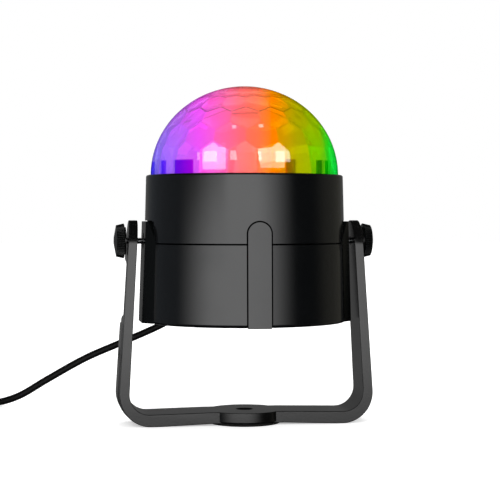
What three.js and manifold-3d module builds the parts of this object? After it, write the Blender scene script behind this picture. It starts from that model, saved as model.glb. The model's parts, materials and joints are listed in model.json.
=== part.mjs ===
// A small disco ball light: a faceted dome turns on a round head that tilts in a U-shaped bracket.
// Millimetres, +Z up, +X to the right, -Y to the front. The origin is on the floor, under the middle.

import * as THREE from 'three';
import { mergeVertices } from 'three/addons/utils/BufferGeometryUtils.js';
import Module from 'manifold-3d';

const wasm = await Module();
wasm.setup();

// Clearances
const seatGap = 0.3; // between pieces that rest on each other
const turnGap = 0.5; // between pieces that turn past each other
const overrun = 2; // how far a cutter runs past what it cuts

// Head, from its flat bottom up to the rim round the dome
const bodyBottom = 40.8;
const bodyHeight = 58.6;
const bodyRadius = 40.95;
const bodyTaper = 1.5;
const wall = 2;
const edgeRound = 1.2;
const rimRound = 0.8;
const roundShare = 0.3; // of a rounded edge, kept at its middle point
const seamDrop = 27.1; // from the rim
const pivotDrop = 26.2; // from the rim
const lipRise = 2.5;
const lipWall = 1;
const rimRadius = bodyRadius - bodyTaper;
const rimZ = bodyBottom + bodyHeight;
const seamZ = rimZ - seamDrop;
const pivotZ = rimZ - pivotDrop;

// Dome, a clear shell that is smooth outside and cut into facets inside
const rimLand = 1.85; // from the outside of the rim in to the dome
const domeRadius = rimRadius - rimLand;
const domeRise = 35.6;
const domeWall = 2.2;
const domeThinWall = 1.2;
const domeGap = 0.35;
const domeSkirt = 4.2;
const neckStep = 2.4;
const neckWall = 1.6;
const facetRise = 6.4; // from the rim up to the middle of the lowest row
const facetPitch = 8.45; // between rows, along the dome
// How many facets each row has, from the rim up, and the turn of its first one in degrees
const facetRows = [[20, 8.5], [17, 19.1], [16, 14.8], [16, 4.2], [16, 15.2], [8, 3.6], [1, 0]];

// Ring gear under the dome, and the pinion that drives it
const gearModule = 0.9;
const gearInset = 5.2; // from the outside of the dome in to the middle of the teeth
const ringTeeth = Math.round(2 * (domeRadius - gearInset) / gearModule);
const pinionTeeth = 12;
const pressureAngle = Math.PI / 9;
const addendum = 0.9 * gearModule;
const dedendum = 1.25 * gearModule;
const backlash = 0.15;
const gearFace = 3;
const neckSeat = 1.8;
const ledge = 1.5;
const pinionBore = 2.6;
const shaftBore = 2;
const ringPitchRadius = ringTeeth * gearModule / 2;
const pinionPitchRadius = pinionTeeth * gearModule / 2;
const gearDistance = ringPitchRadius - pinionPitchRadius;

// Deck across the head, with the light source on it
const deckThickness = 2;
const deckTrackRise = 1.6;
const deckTrackWidth = 1.3;
const ledBoardClear = 1.3; // from the pinion's teeth
const ledBoardRadius = gearDistance - pinionPitchRadius - addendum - ledBoardClear;
const ledBoardThickness = 1.6;
const sinkInset = 0.5; // from the edge of the light's board
const sinkRadius = ledBoardRadius - sinkInset;
const sinkThickness = 1.5;
const sinkSlotWidth = 1.6;
const sinkSlots = 8;
const ledSide = 5;
const ledThickness = 1.2;
const ledCircle = 9;
const lensFoot = 2.6;
const lensMouth = 5.8;
const lensHeight = 7;
const lensLip = 1;
const plateThickness = 1.4;
const plateLift = 0.6;
const plateStandRadius = 2.2;
const plateStandInset = 13.1; // from the outside of the dome
const plateStandCircle = domeRadius - plateStandInset;

// Motor
const motorRadius = 7.5;
const motorHeight = 14;
const motorCapRadius = 4;
const motorCapHeight = 1.5;
const motorEarSpan = 9.4;
const motorEarRadius = 2.3;
const motorEarThickness = 1.5;
const motorBoreDepth = 6;

// Screw posts and screws
const postRadius = 3.2;
const postInset = 8.15; // from the outside of the head
const postCircle = bodyRadius - postInset;
const postWeb = 2.4;
const postTurn = Math.PI / 4;
const screwShank = 1.1;
const screwHead = 1.9;
const screwHeadHeight = 1.2;
const screwSlot = 0.5;
const screwSlotDepth = 0.5;
const caseScrewLength = 14;
const deckScrewLength = 6;
const plateScrewLength = 6;
const motorScrewLength = 5;
const boardScrewLength = 5;
const caseScrewDrop = 8.5; // from the seam down to the seat of the case screws

// Straps down the front and the back of the head
const strapWidth = 9.5;
const strapTopDrop = 18.4; // from the rim
const strapTop = bodyHeight - strapTopDrop;
const strapProud = 0.2;
const strapDepth = 1.3;
const strapHang = 0.25; // below the bottom of the head
const strapGroove = 0.4;

// Pivot pads on the two sides of the head
const padHalfWidth = 15;
const padFaceInset = 6.5; // from the side of the pad to the edge of its flat face
const padShoulderInset = 3.6;
const padTopHalfWidth = padHalfWidth - padShoulderInset;
const padTopDrop = 18.4; // from the rim
const padShoulderDrop = 9; // from the top of the pad
const padTop = bodyHeight - padTopDrop;
const padShoulder = padTop - padShoulderDrop;
const padCorner = 2;
const padSink = 4.55; // from the outside of the head in to the pad's back
const padProud = 1.05;
const padLean = 1.5;
const padInner = bodyRadius - padSink;
const padLowReach = bodyRadius + padProud;
const padHighReach = padLowReach - padLean;
const padFootGap = 0.2;
const padBossRadius = 5.2;
const padBossDepth = 7;
const insertRadius = 3;
const insertLength = 9.5;
const insertGroove = 0.4;

// Bracket
const armGap = 2.6; // between the pad's top and the arm's
const armThicknessTop = 3.5;
const armThicknessFoot = 4;
const armSplay = 5; // how far each arm leans out from its top to its foot
const armOuterTop = padHighReach + armGap + armThicknessTop;
const armOuterFoot = armOuterTop + armSplay;
const earRadius = 8.2;
const armTop = pivotZ + earRadius;
const armHalfFoot = 9.8;
const recessFront = -2.5; // the outside of each arm is recessed from here to its rear edge
const recessDepth = 1.3;
const recessLowDrop = 31.7; // from the pivot
const recessHighDrop = 7.2; // from the pivot
const recessRamp = 3.5;
const shoulderProud = 0.5; // below the recess, the outside behind recessFront stands out by this
const shoulderRamp = 1.5;
const shoulderSink = 1; // how far its section reaches into the arm
const barArch = 0.8; // under the bar, beside the disc
const barEndTop = 4.7;
const barMiddleTop = 5.4;
const barToeInset = 15.6; // from the outside of the arm's foot
const barToe = armOuterFoot - barToeInset;
const barCornerOuter = 12.5;
const barCornerInner = 8;
const discRadius = 15;
const discHole = 3.1;
const footPadInset = 0.8;
const footPadRadius = discRadius - footPadInset;
const footPadHole = discHole + 1.1;
const footPadThickness = 1;

// Knobs and their studs
const studRadius = 1.3;
const studSlack = 0.45;
const studDepth = 4.9; // into the pad's boss
const studInner = padInner - studDepth;
const knobRadius = 7;
const knobReach = 5.8; // beyond the top of the arm
const knobOuter = armOuterTop + knobReach;
const knobTaper = 0.7;
const knobTip = knobRadius - knobTaper;
const knobCollar = 5.5;
const knobCollarLength = 0.6;
const knobCone = 0.9;
const knobFace = 1.8;
const knobRidges = 40;
const knobRidgeDepth = 0.4;
const knobBoreDepth = 1.6; // left solid between the bore and the outer face

// Control board, and what is on it
const boardEndGap = 1.2; // from the middles of the screw posts
const boardEdgeGap = 5.2; // from the middles of the rear screw posts
const boardCentre = 2;
const boardLength = 2 * (postCircle * Math.SQRT1_2 - boardEndGap);
const boardWidth = 2 * (postCircle * Math.SQRT1_2 - boardEdgeGap - boardCentre);
const boardThickness = 1.6;
const boardRise = 11.2;
const boardHoleInset = 3;
const boardStandRadius = 2.4;
const buttonRadius = 4;
const buttonProud = 0.7;
const buttonFlange = 1.4;
const buttonFlangeThickness = 1;
const buttonStem = 1.6;
const buttonTravel = 0.5;
const buttonForward = 8;
const switchSide = 6;
const switchBody = 3.4;
const micRadius = 3;
const micHeight = 2.6;
const micInset = 9; // from the end of the board
const micPort = 0.75;
const micPortCircle = 1.8;
const chipLength = 9;
const chipWidth = 6;
const chipThickness = 1.5;
const socketLength = 8;
const socketWidth = 6;
const socketHeight = 5.5;
const socketWall = 0.8;
const socketFloor = 1.8;

// Cord, its strain relief, its coil and its plug
const cordRadius = 1.5;
const cordLength = 1000;
const cordSides = 8;
const glandAcross = -16;
const glandLean = 0.487; // the angle below level at which the cord leaves the back of the head
const glandReach = 20.55; // beyond the head
const glandSink = 4.2; // in from the head's outside
const glandEnd = bodyRadius + glandReach; // from the pivot axis
const glandStart = Math.sqrt(bodyRadius ** 2 - glandAcross ** 2) - glandSink;
const glandRadius = 3;
const glandTipRadius = 2.3;
const glandFlangeRadius = 4.2;
const glandFlange = 1.5;
const glandRibs = 5;
const glandRibDepth = 0.5;
const coilPitch = 3.5;
const coilLift = 3.45;
const coilTurns = 8.25;
const coilSides = 6;
const coilSteps = 24;
const tailLength = 24;
const tailSteps = 5;
const plugLength = 26;
const plugWidth = 15.5;
const plugHeight = 8;
const plugNose = 7;
const plugNoseRadius = 3;
const plugCorner = 1.6;
const plugShellLength = 11.8;
const plugShellWidth = 12;
const plugShellHeight = 4.5;
const plugShellWall = 0.4;
const plugTongueHeight = 1.6;

// How finely round pieces are divided
const fine = 54;
const domeSides = 48;
const domeSteps = 9;
const medium = 20;
const coarse = 10;
const screwSides = 8;
const cornerSteps = 5;
const rampSteps = 3;

// Materials, with the colours of the photograph
const paint = (color, roughness, metalness = 0) =>
	new THREE.MeshStandardMaterial({ color, roughness, metalness });
const blackShell = paint('#17191b', 0.32);
const blackArm = paint('#3c3d3e', 0.38);
const blackStrap = paint('#131516', 0.35);
const blackKnob = paint('#161819', 0.45);
const blackInner = paint('#202224', 0.6);
const blackCord = paint('#0d0e0f', 0.5);
const rubber = paint('#101010', 0.9);
const steel = paint('#b9bcc0', 0.3, 1);
const aluminium = paint('#c8cacc', 0.4, 1);
const brassMetal = paint('#b5974e', 0.35, 1);
const whitePlastic = paint('#e8e8e6', 0.5);
const greenBoard = paint('#1c5a3a', 0.5);
const blackChip = paint('#1a1b1d', 0.6);
const redLight = paint('#ff3b30', 0.4);
const greenLight = paint('#20e050', 0.4);
const blueLight = paint('#4a50ff', 0.4);
const clear = new THREE.MeshStandardMaterial({ color: '#f6f7fb', roughness: 0.05, transparent: true, opacity: 0.35 });

// Shape helpers

// Turns a closed geometry into a solid, with its shared points merged and its faces pointing out.
function toSolid(geometry) {
	const bare = geometry.clone();
	bare.deleteAttribute('normal');
	bare.deleteAttribute('uv');
	const merged = mergeVertices(bare);
	const points = merged.getAttribute('position').array;
	const index = merged.getIndex().array;
	const triangles = [];
	for (let i = 0; i < index.length; i += 3) {
		const [a, b, c] = [index[i], index[i + 1], index[i + 2]];
		if (a !== b && b !== c && c !== a) triangles.push([a, b, c]);
	}
	const corner = (k) => new THREE.Vector3(points[3 * k], points[3 * k + 1], points[3 * k + 2]);
	const volume = triangles.reduce(
		(sum, [a, b, c]) => sum + corner(a).dot(corner(b).cross(corner(c))), 0);
	const outward = volume < 0 ? triangles.map(([a, b, c]) => [a, c, b]) : triangles;
	return new wasm.Manifold(new wasm.Mesh({
		numProp: 3,
		vertProperties: new Float32Array(points),
		triVerts: new Uint32Array(outward.flat()),
	}));
}

// Turns a solid back into a geometry.
function toGeometry(solid) {
	const mesh = solid.getMesh();
	const geometry = new THREE.BufferGeometry();
	geometry.setAttribute('position', new THREE.BufferAttribute(mesh.vertProperties, 3));
	geometry.setIndex(new THREE.BufferAttribute(mesh.triVerts, 1));
	const flat = geometry.toNonIndexed();
	flat.computeVertexNormals();
	return flat;
}

// Revolves a profile of [radius, height] points round Z.
function revolve(profile, segments = fine) {
	const closed = profile.map(([r, z]) => new THREE.Vector2(r, z));
	if (profile[0][0] > 0 || profile.at(-1)[0] > 0) closed.push(closed[0].clone());
	const geometry = new THREE.LatheGeometry(closed, segments);
	return toSolid(geometry.rotateX(Math.PI / 2));
}

// Extrudes a shape from one place to another along an axis. On X the shape holds [y, z], on Y [x, z].
function prism(shape, from, to, axis = 'z', curveSegments = cornerSteps) {
	const geometry = new THREE.ExtrudeGeometry(shape, { depth: to - from, bevelEnabled: false, curveSegments });
	const turn = new THREE.Matrix4();
	const [x, y, z] = [[1, 0, 0], [0, 1, 0], [0, 0, 1]].map((v) => new THREE.Vector3(...v));
	if (axis === 'x') turn.makeBasis(y, z, x);
	if (axis === 'y') turn.makeBasis(x, z, y.clone().negate());
	geometry.applyMatrix4(turn);
	if (axis === 'x') geometry.translate(from, 0, 0);
	if (axis === 'y') geometry.translate(0, to, 0);
	if (axis === 'z') geometry.translate(0, 0, from);
	return toSolid(geometry);
}

// An outline from [x, y, rounding] corners.
function outline(corners) {
	const shape = new THREE.Shape();
	const count = corners.length;
	corners.forEach(([x, y, round = 0], i) => {
		const here = new THREE.Vector2(x, y);
		const back = new THREE.Vector2(...corners[(i + count - 1) % count]).sub(here).normalize();
		const on = new THREE.Vector2(...corners[(i + 1) % count]).sub(here).normalize();
		const turned = Math.PI - Math.acos(THREE.MathUtils.clamp(back.dot(on), -1, 1));
		const reach = round * Math.tan(turned / 2);
		const hold = reach - round * Math.tan(turned / 4) * 4 / 3;
		const at = (way, length) => here.clone().addScaledVector(way, length);
		const first = at(back, reach);
		if (i === 0) shape.moveTo(first.x, first.y);
		else shape.lineTo(first.x, first.y);
		if (round > 0) {
			const [one, two, last] = [at(back, hold), at(on, hold), at(on, reach)];
			shape.bezierCurveTo(one.x, one.y, two.x, two.y, last.x, last.y);
		}
	});
	shape.closePath();
	return shape;
}

const rectangle = (left, low, right, high, round = 0) =>
	outline([[left, low, round], [right, low, round], [right, high, round], [left, high, round]]);
const rod = (radius, from, to, segments = medium) =>
	revolve([[0, from], [radius, from], [radius, to], [0, to]], segments);
const rodAlongX = (radius, from, to, z, segments = medium) =>
	rod(radius, from, to, segments).rotate([0, 90, 0]).translate([0, 0, z]);
const polar = (radius, angle) => [radius * Math.cos(angle), radius * Math.sin(angle)];
const around = (count, start = 0) =>
	Array.from({ length: count }, (_, i) => start + 2 * Math.PI * i / count);

// Levels inside the head, worked down from the rim
const shellRadius = (z) => bodyRadius + (rimRadius - bodyRadius) * (z - bodyBottom) / bodyHeight;
const shellInner = (z) => shellRadius(z) - wall;
const shoulderZ = rimZ - domeSkirt;
const ledgeTop = shoulderZ - turnGap;
const ledgeBottom = ledgeTop - ledge;
const neckOuter = domeRadius - neckStep;
const neckInner = neckOuter - neckWall;
const gearTop = ledgeBottom - turnGap;
const seatZ = gearTop - neckSeat;
const gearBottom = seatZ - gearFace;
const deckTop = gearBottom - turnGap - deckTrackRise;
const deckBottom = deckTop - deckThickness;
const postTop = deckBottom - seatGap;
const plateBottom = seatZ + plateLift;
const plateTop = plateBottom + plateThickness;
const sinkBottom = deckTop + seatGap;
const ledBoardBottom = sinkBottom + sinkThickness + seatGap;
const ledBottom = ledBoardBottom + ledBoardThickness + seatGap;
const lensBottom = ledBottom + ledThickness + seatGap;
const lensRadius = (z) => lensFoot + (lensMouth - lensFoot) * (z - lensBottom) / (lensHeight - lensLip);
const floorTop = bodyBottom + wall;
const boardBottom = bodyBottom + boardRise;
const postAngles = around(4, postTurn);
const plateStandAngles = around(3, Math.PI / 6);

const armOuter = (z) => armOuterFoot - armSplay * z / armTop;

// Scene graph
const object = new THREE.Group();
const stand = new THREE.Group();
const head = new THREE.Group();
const turret = new THREE.Group();
object.add(stand, head);
head.add(turret);

function add(parent, name, solid, material) {
	const mesh = new THREE.Mesh(solid.isBufferGeometry ? solid : toGeometry(solid), material);
	mesh.name = name;
	parent.add(mesh);
	return mesh;
}

// Bracket: the front view's U outline, cut by the side view's arm outline, with a disc in the middle
function bracket() {
	const outer = armOuter;
	const inner = (z) => outer(z) - armThicknessFoot + (armThicknessFoot - armThicknessTop) * z / armTop;
	const arch = footPadThickness + seatGap;
	const half = [
		[discRadius, barArch], [barToe, 0], [outer(0), 0, barCornerOuter], [outer(armTop), armTop],
		[inner(armTop), armTop], [inner(barEndTop), barEndTop, barCornerInner], [discRadius, barMiddleTop],
	];
	const mirrored = half.map(([x, z, round]) => [-x, z, round]).reverse();
	const front = prism(outline([...half, ...mirrored]), -armHalfFoot - overrun, armHalfFoot + overrun, 'y');

	const side = new THREE.Shape();
	side.moveTo(-armHalfFoot, -overrun);
	side.lineTo(-armHalfFoot, 0);
	side.lineTo(-earRadius, pivotZ);
	side.absarc(0, pivotZ, earRadius, Math.PI, 0, true);
	side.lineTo(armHalfFoot, 0);
	side.lineTo(armHalfFoot, -overrun);
	side.closePath();
	const arms = prism(side, -armOuterFoot - overrun, armOuterFoot + overrun, 'x', coarse);

	const hollow = new THREE.Shape();
	const [recessLow, recessHigh] = [pivotZ - recessLowDrop, pivotZ - recessHighDrop];
	const [bend, end] = [recessLow + recessRamp, recessHigh - recessRamp];
	hollow.moveTo(outer(recessLow) + overrun, recessLow);
	hollow.lineTo(outer(recessLow), recessLow);
	hollow.bezierCurveTo(outer(bend), (recessLow + bend) / 2, outer(recessLow) - recessDepth,
		(recessLow + bend) / 2, outer(bend) - recessDepth, bend);
	hollow.lineTo(outer(end) - recessDepth, end);
	hollow.lineTo(outer(recessHigh), recessHigh);
	hollow.lineTo(outer(recessHigh) + overrun, recessHigh);
	hollow.closePath();
	const recess = prism(hollow, recessFront, armHalfFoot + overrun, 'y', rampSteps);

	const [top, corner] = [outer(recessLow), outer(0)];
	const band = outline([
		[top - shoulderSink, recessLow], [top + shoulderProud, recessLow - shoulderRamp],
		[corner + shoulderProud, 0, barCornerOuter], [barToe + overrun, 0], [barToe + overrun, shoulderSink],
		[corner - shoulderSink, shoulderSink, barCornerOuter - shoulderSink],
	]);
	const shoulder = prism(band, recessFront, armHalfFoot + overrun, 'y').intersect(arms);

	return front.intersect(arms)
		.add(shoulder).add(shoulder.mirror([1, 0, 0]))
		.add(rod(discRadius, arch, barMiddleTop, fine))
		.subtract(recess).subtract(recess.mirror([1, 0, 0]))
		.subtract(rod(discHole, -overrun, barMiddleTop + overrun))
		.subtract(rod(footPadRadius + seatGap, -overrun, arch, fine))
		.subtract(rodAlongX(studRadius + studSlack, -armOuterFoot - overrun, armOuterFoot + overrun, pivotZ, coarse));
}
add(stand, 'stand_bracket', bracket(), blackArm);
add(stand, 'foot_pad', revolve([
	[footPadHole, 0], [footPadRadius, 0], [footPadRadius, footPadThickness], [footPadHole, footPadThickness],
], medium), rubber);

// Straps: a tongue with a round top, bent to the head's wall. The shells are grooved round it.
function strapBlank(spread, inside, outside) {
	const half = strapWidth / 2 + spread;
	const middle = bodyBottom + strapTop - strapWidth / 2;
	const low = bodyBottom - strapHang - (spread > 0 ? overrun : 0);
	const tongue = new THREE.Shape();
	tongue.moveTo(-half, low);
	tongue.lineTo(half, low);
	tongue.lineTo(half, middle);
	tongue.absarc(0, middle, half, 0, Math.PI);
	tongue.closePath();
	const [start, end] = [low - overrun, rimZ];
	const band = revolve([
		[shellRadius(start) - inside, start], [shellRadius(start) + outside, start],
		[shellRadius(end) + outside, end], [shellRadius(end) - inside, end],
	]);
	return prism(tongue, -bodyRadius - overrun, 0, 'y', coarse).intersect(band);
}
const strap = strapBlank(0, strapDepth, strapProud);
const strapCut = strapBlank(strapGroove, strapDepth + seatGap, overrun);
add(head, 'front_strap', strap, blackStrap);
add(head, 'rear_strap', strap, blackStrap).rotation.z = Math.PI;

// Pivot pads: flat leaning blocks that the arms' ears sit beside, each with a boss for a threaded insert
function padBlank(spread, foot) {
	const low = bodyBottom + foot - spread;
	const top = bodyBottom + padTop + spread;
	const round = padCorner + spread;
	const side = outline([
		[-padHalfWidth - spread, low, round], [padHalfWidth + spread, low, round],
		[padHalfWidth + spread, bodyBottom + padShoulder + spread / 2], [padTopHalfWidth + spread, top],
		[-padTopHalfWidth - spread, top], [-padHalfWidth - spread, bodyBottom + padShoulder + spread / 2],
	]);
	return prism(side, padInner - spread, padLowReach + overrun, 'x');
}
function pivotPad() {
	const low = bodyBottom - overrun;
	const high = bodyBottom + padTop;
	const lean = padLean / padTop;
	const face = outline([
		[padInner - padBossDepth, low], [padLowReach + lean * overrun, low],
		[padHighReach, high], [padInner - padBossDepth, high],
	]);
	const wedge = prism(face, -padHalfWidth - overrun, padHalfWidth + overrun, 'y');
	const wallX = Math.sqrt(bodyRadius ** 2 - padHalfWidth ** 2);
	const slant = padFaceInset / (padLowReach - wallX);
	const tip = padHalfWidth - padFaceInset - slant * overrun;
	const plan = prism(outline([
		[padInner - overrun, -padHalfWidth], [wallX, -padHalfWidth], [padLowReach + overrun, -tip],
		[padLowReach + overrun, tip], [wallX, padHalfWidth], [padInner - overrun, padHalfWidth],
	]), low, high + overrun);
	const boss = rodAlongX(padBossRadius, padInner - padBossDepth, padInner + seatGap, pivotZ);
	const hole = rodAlongX(insertRadius + seatGap, padInner - padBossDepth - overrun,
		padLowReach + overrun, pivotZ);
	return padBlank(0, padFootGap).intersect(wedge).intersect(plan).add(boss).subtract(hole);
}
const pad = pivotPad();
const padCut = padBlank(seatGap, padFootGap - overrun);
const padCuts = padCut.add(padCut.rotate([0, 0, 180]));
const strapCuts = strapCut.add(strapCut.rotate([0, 0, 180]));
function threadedInsert() {
	const inner = padInner - padBossDepth;
	const bore = studRadius + seatGap;
	const band = insertLength / 3;
	return revolve([
		[bore, inner], [insertRadius, inner], [insertRadius, inner + band],
		[insertRadius - insertGroove, inner + band + insertGroove],
		[insertRadius - insertGroove, inner + 2 * band - insertGroove],
		[insertRadius, inner + 2 * band], [insertRadius, inner + insertLength], [bore, inner + insertLength],
	], medium).rotate([0, 90, 0]).translate([0, 0, pivotZ]);
}
const insert = threadedInsert();

// Knobs: a ridged grip with a collar toward the arm and a shallow cone outside, on a steel stud
function knob() {
	const inner = armOuter(pivotZ - knobCollar) + seatGap;
	const grip = new THREE.Shape();
	around(knobRidges).forEach((angle, i) => {
		const [x, y] = polar(knobRadius, angle);
		if (i === 0) grip.moveTo(x, y);
		else grip.lineTo(x, y);
		grip.lineTo(...polar(knobRadius - knobRidgeDepth, angle + Math.PI / knobRidges));
	});
	grip.closePath();
	const start = inner + knobCollarLength;
	const ridged = prism(grip, start, knobOuter);
	const turned = revolve([
		[0, inner], [knobCollar, inner], [knobCollar, start], [knobRadius, start],
		[knobTip, knobOuter - knobCone], [knobFace, knobOuter], [0, knobOuter],
	], knobRidges);
	const collar = rod(knobCollar, inner, start + seatGap);
	const bore = rod(studRadius + seatGap, inner - overrun, knobOuter - knobBoreDepth, coarse);
	return ridged.intersect(turned).add(collar).subtract(bore)
		.rotate([0, 90, 0]).translate([0, 0, pivotZ]);
}
const knobSolid = knob();
const stud = rodAlongX(studRadius, studInner, knobOuter - knobBoreDepth - seatGap, pivotZ, coarse);
for (const [side, turn] of [['left', Math.PI], ['right', 0]]) {
	add(head, `${side}_pivot_pad`, pad, blackShell).rotation.z = turn;
	add(head, `${side}_thread_insert`, insert, brassMetal).rotation.z = turn;
	add(stand, `${side}_knob`, knobSolid, blackKnob).rotation.z = turn;
	add(stand, `${side}_knob_stud`, stud, steel).rotation.z = turn;
}

// Strain relief, on a line through the pivot axis at the back of the head
const glandWay = new THREE.Vector3(0, Math.cos(glandLean), -Math.sin(glandLean));
const fromPivot = (distance) => glandWay.clone().multiplyScalar(distance).add(new THREE.Vector3(glandAcross, 0, pivotZ));
const aimGland = (solid) => solid
	.rotate([-90 - THREE.MathUtils.radToDeg(glandLean), 0, 0]).translate([glandAcross, 0, pivotZ]);
function gland() {
	const boot = glandStart + glandFlange;
	const ribStart = bodyRadius + glandFlange;
	const ribPitch = (glandEnd - ribStart) / glandRibs;
	const profile = [[0, glandStart], [glandFlangeRadius, glandStart], [glandFlangeRadius, boot], [glandRadius, boot]];
	for (let i = 0; i < glandRibs; i++) {
		const taper = (at) => glandRadius + (glandTipRadius - glandRadius) * at / glandRibs;
		const from = ribStart + i * ribPitch;
		profile.push([taper(i), from], [taper(i), from + ribPitch / 2]);
		profile.push([taper(i) - glandRibDepth, from + ribPitch / 2]);
		if (i < glandRibs - 1) profile.push([taper(i + 1) - glandRibDepth, from + ribPitch]);
	}
	profile.push([glandTipRadius - glandRibDepth, glandEnd], [0, glandEnd]);
	return aimGland(revolve(profile, coarse));
}
const glandCut = aimGland(rod(glandRadius + seatGap, glandStart + glandFlange, glandEnd, coarse));

// Upper shell: the wall from the seam to the rim, with the ledge that keeps the dome down
function upperShell() {
	const bottom = seamZ + seatGap / 2;
	const shell = revolve([
		[shellInner(bottom), bottom], [shellRadius(bottom), bottom],
		[shellRadius(rimZ - rimRound), rimZ - rimRound],
		[shellRadius(rimZ) - rimRound * roundShare, rimZ - rimRound * roundShare],
		[shellRadius(rimZ) - rimRound, rimZ], [domeRadius + domeGap, rimZ],
		[domeRadius + domeGap, ledgeTop], [neckOuter + turnGap, ledgeTop], [neckOuter + turnGap, ledgeBottom],
		[shellInner(ledgeBottom), ledgeBottom],
	]);
	const posts = postAngles.map((angle) => {
		const [x, y] = polar(postCircle, angle);
		const web = prism(rectangle(postCircle, -postWeb / 2, shellRadius(postTop) - wall / 2, postWeb / 2),
			seamZ + lipRise + turnGap, postTop);
		return rod(postRadius, bottom, postTop, coarse).translate([x, y, 0])
			.add(web.rotate([0, 0, THREE.MathUtils.radToDeg(angle)]));
	});
	const pilots = postAngles.map((angle) =>
		rod(screwShank + seatGap, bottom - overrun, postTop + overrun, screwSides).translate([...polar(postCircle, angle), 0]));
	return wasm.Manifold.union([shell, ...posts])
		.subtract(wasm.Manifold.union([...pilots, padCuts, strapCuts]));
}
add(head, 'upper_shell', upperShell(), blackShell);

// Lower shell: a cup with a lip inside the seam, screw posts, board stands and the button's hole
const buttonHole = buttonRadius + seatGap;
const boardStands = [-1, 1].map((side) => [side * (boardLength / 2 - boardHoleInset), boardCentre]);
const micPlace = [boardLength / 2 - micInset, boardCentre - boardWidth / 2 + micRadius + micRadius / 2];
const buttonPlace = [0, boardCentre - buttonForward];
function lowerShell() {
	const top = seamZ - seatGap / 2;
	const lipTop = seamZ + lipRise;
	const lipOuter = shellInner(seamZ) - seatGap;
	const cup = revolve([
		[0, bodyBottom], [bodyRadius - edgeRound, bodyBottom],
		[bodyRadius - edgeRound * roundShare, bodyBottom + edgeRound * roundShare],
		[shellRadius(bodyBottom + edgeRound), bodyBottom + edgeRound],
		[shellRadius(top), top], [lipOuter, top], [lipOuter, lipTop], [lipOuter - lipWall, lipTop],
		[lipOuter - lipWall, top - lipRise], [shellInner(top - lipRise - lipWall), top - lipRise - lipWall],
		[shellInner(floorTop), floorTop], [0, floorTop],
	]);
	const posts = postAngles.map((angle) =>
		rod(postRadius, floorTop - wall / 2, top, coarse).translate([...polar(postCircle, angle), 0]));
	const stands = boardStands.map(([x, y]) =>
		rod(boardStandRadius, floorTop - wall / 2, boardBottom - seatGap, coarse).translate([x, y, 0]));
	const headSeat = seamZ - caseScrewDrop;
	const bores = postAngles.map((angle) =>
		rod(screwHead + seatGap, bodyBottom - overrun, headSeat, coarse)
			.add(rod(screwShank + seatGap, headSeat - overrun, top + overrun, screwSides))
			.translate([...polar(postCircle, angle), 0]));
	const pilots = boardStands.map(([x, y]) =>
		rod(screwShank + seatGap, boardBottom - boardScrewLength, boardBottom + overrun, screwSides).translate([x, y, 0]));
	const button = rod(buttonHole, bodyBottom - overrun, floorTop + overrun).translate([...buttonPlace, 0]);
	const ports = around(3, Math.PI / 2).map((angle) => {
		const [x, y] = polar(micPortCircle, angle);
		return rod(micPort, bodyBottom - overrun, floorTop + overrun, screwSides)
			.translate([micPlace[0] + x, micPlace[1] + y, 0]);
	});
	return wasm.Manifold.union([cup, ...posts, ...stands])
		.subtract(wasm.Manifold.union([...bores, ...pilots, button, ...ports, padCuts, strapCuts, glandCut]));
}
add(head, 'lower_shell', lowerShell(), blackShell);
add(head, 'cord_gland', gland(), blackCord);

// Gears: involute teeth, given as the outline of an outside gear
function gearOutline(teeth, inner, outer, thicker, straight = false) {
	const pitch = teeth * gearModule / 2;
	const base = pitch * Math.cos(pressureAngle);
	const roll = (r) => {
		const angle = Math.acos(Math.min(1, base / Math.max(r, base)));
		return Math.tan(angle) - angle;
	};
	const half = Math.PI / (2 * teeth) + thicker / pitch + roll(pitch);
	const levels = straight ? [Math.max(inner, base), outer] : [Math.max(inner, base), pitch, outer];
	if (inner < base) levels.unshift(inner);
	const shape = new THREE.Shape();
	around(teeth, Math.PI / 2).forEach((angle, i) => {
		const up = levels.map((r) => polar(r, angle - half + roll(r)));
		const down = levels.map((r) => polar(r, angle + half - roll(r))).reverse();
		[...up, ...down].forEach(([x, y], k) => {
			if (i === 0 && k === 0) shape.moveTo(x, y);
			else shape.lineTo(x, y);
		});
	});
	shape.closePath();
	return shape;
}

// Ring gear: the teeth face in, and the dome's neck sits in the step above them
function ringGear() {
	const outer = shellInner(ledgeBottom) - turnGap;
	const ring = revolve([
		[ringPitchRadius - dedendum * 2, gearBottom], [outer, gearBottom], [outer, gearTop],
		[neckOuter + seatGap, gearTop], [neckOuter + seatGap, seatZ], [ringPitchRadius - dedendum * 2, seatZ],
	]);
	const spaces = gearOutline(ringTeeth, ringPitchRadius - addendum, ringPitchRadius + dedendum, backlash / 2, true);
	return ring.subtract(prism(spaces, gearBottom - overrun, seatZ + overrun));
}
add(turret, 'dome_ring_gear', ringGear(), blackInner);
const pinionTip = pinionPitchRadius + addendum;
const pinionSolid = prism(
	gearOutline(pinionTeeth, pinionPitchRadius - dedendum, pinionTip, -backlash / 2), gearBottom, seatZ)
	.subtract(rod(pinionBore / 2, gearBottom - overrun, seatZ + overrun, coarse));
add(head, 'pinion', pinionSolid, whitePlastic).position.set(0, gearDistance, 0);

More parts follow.
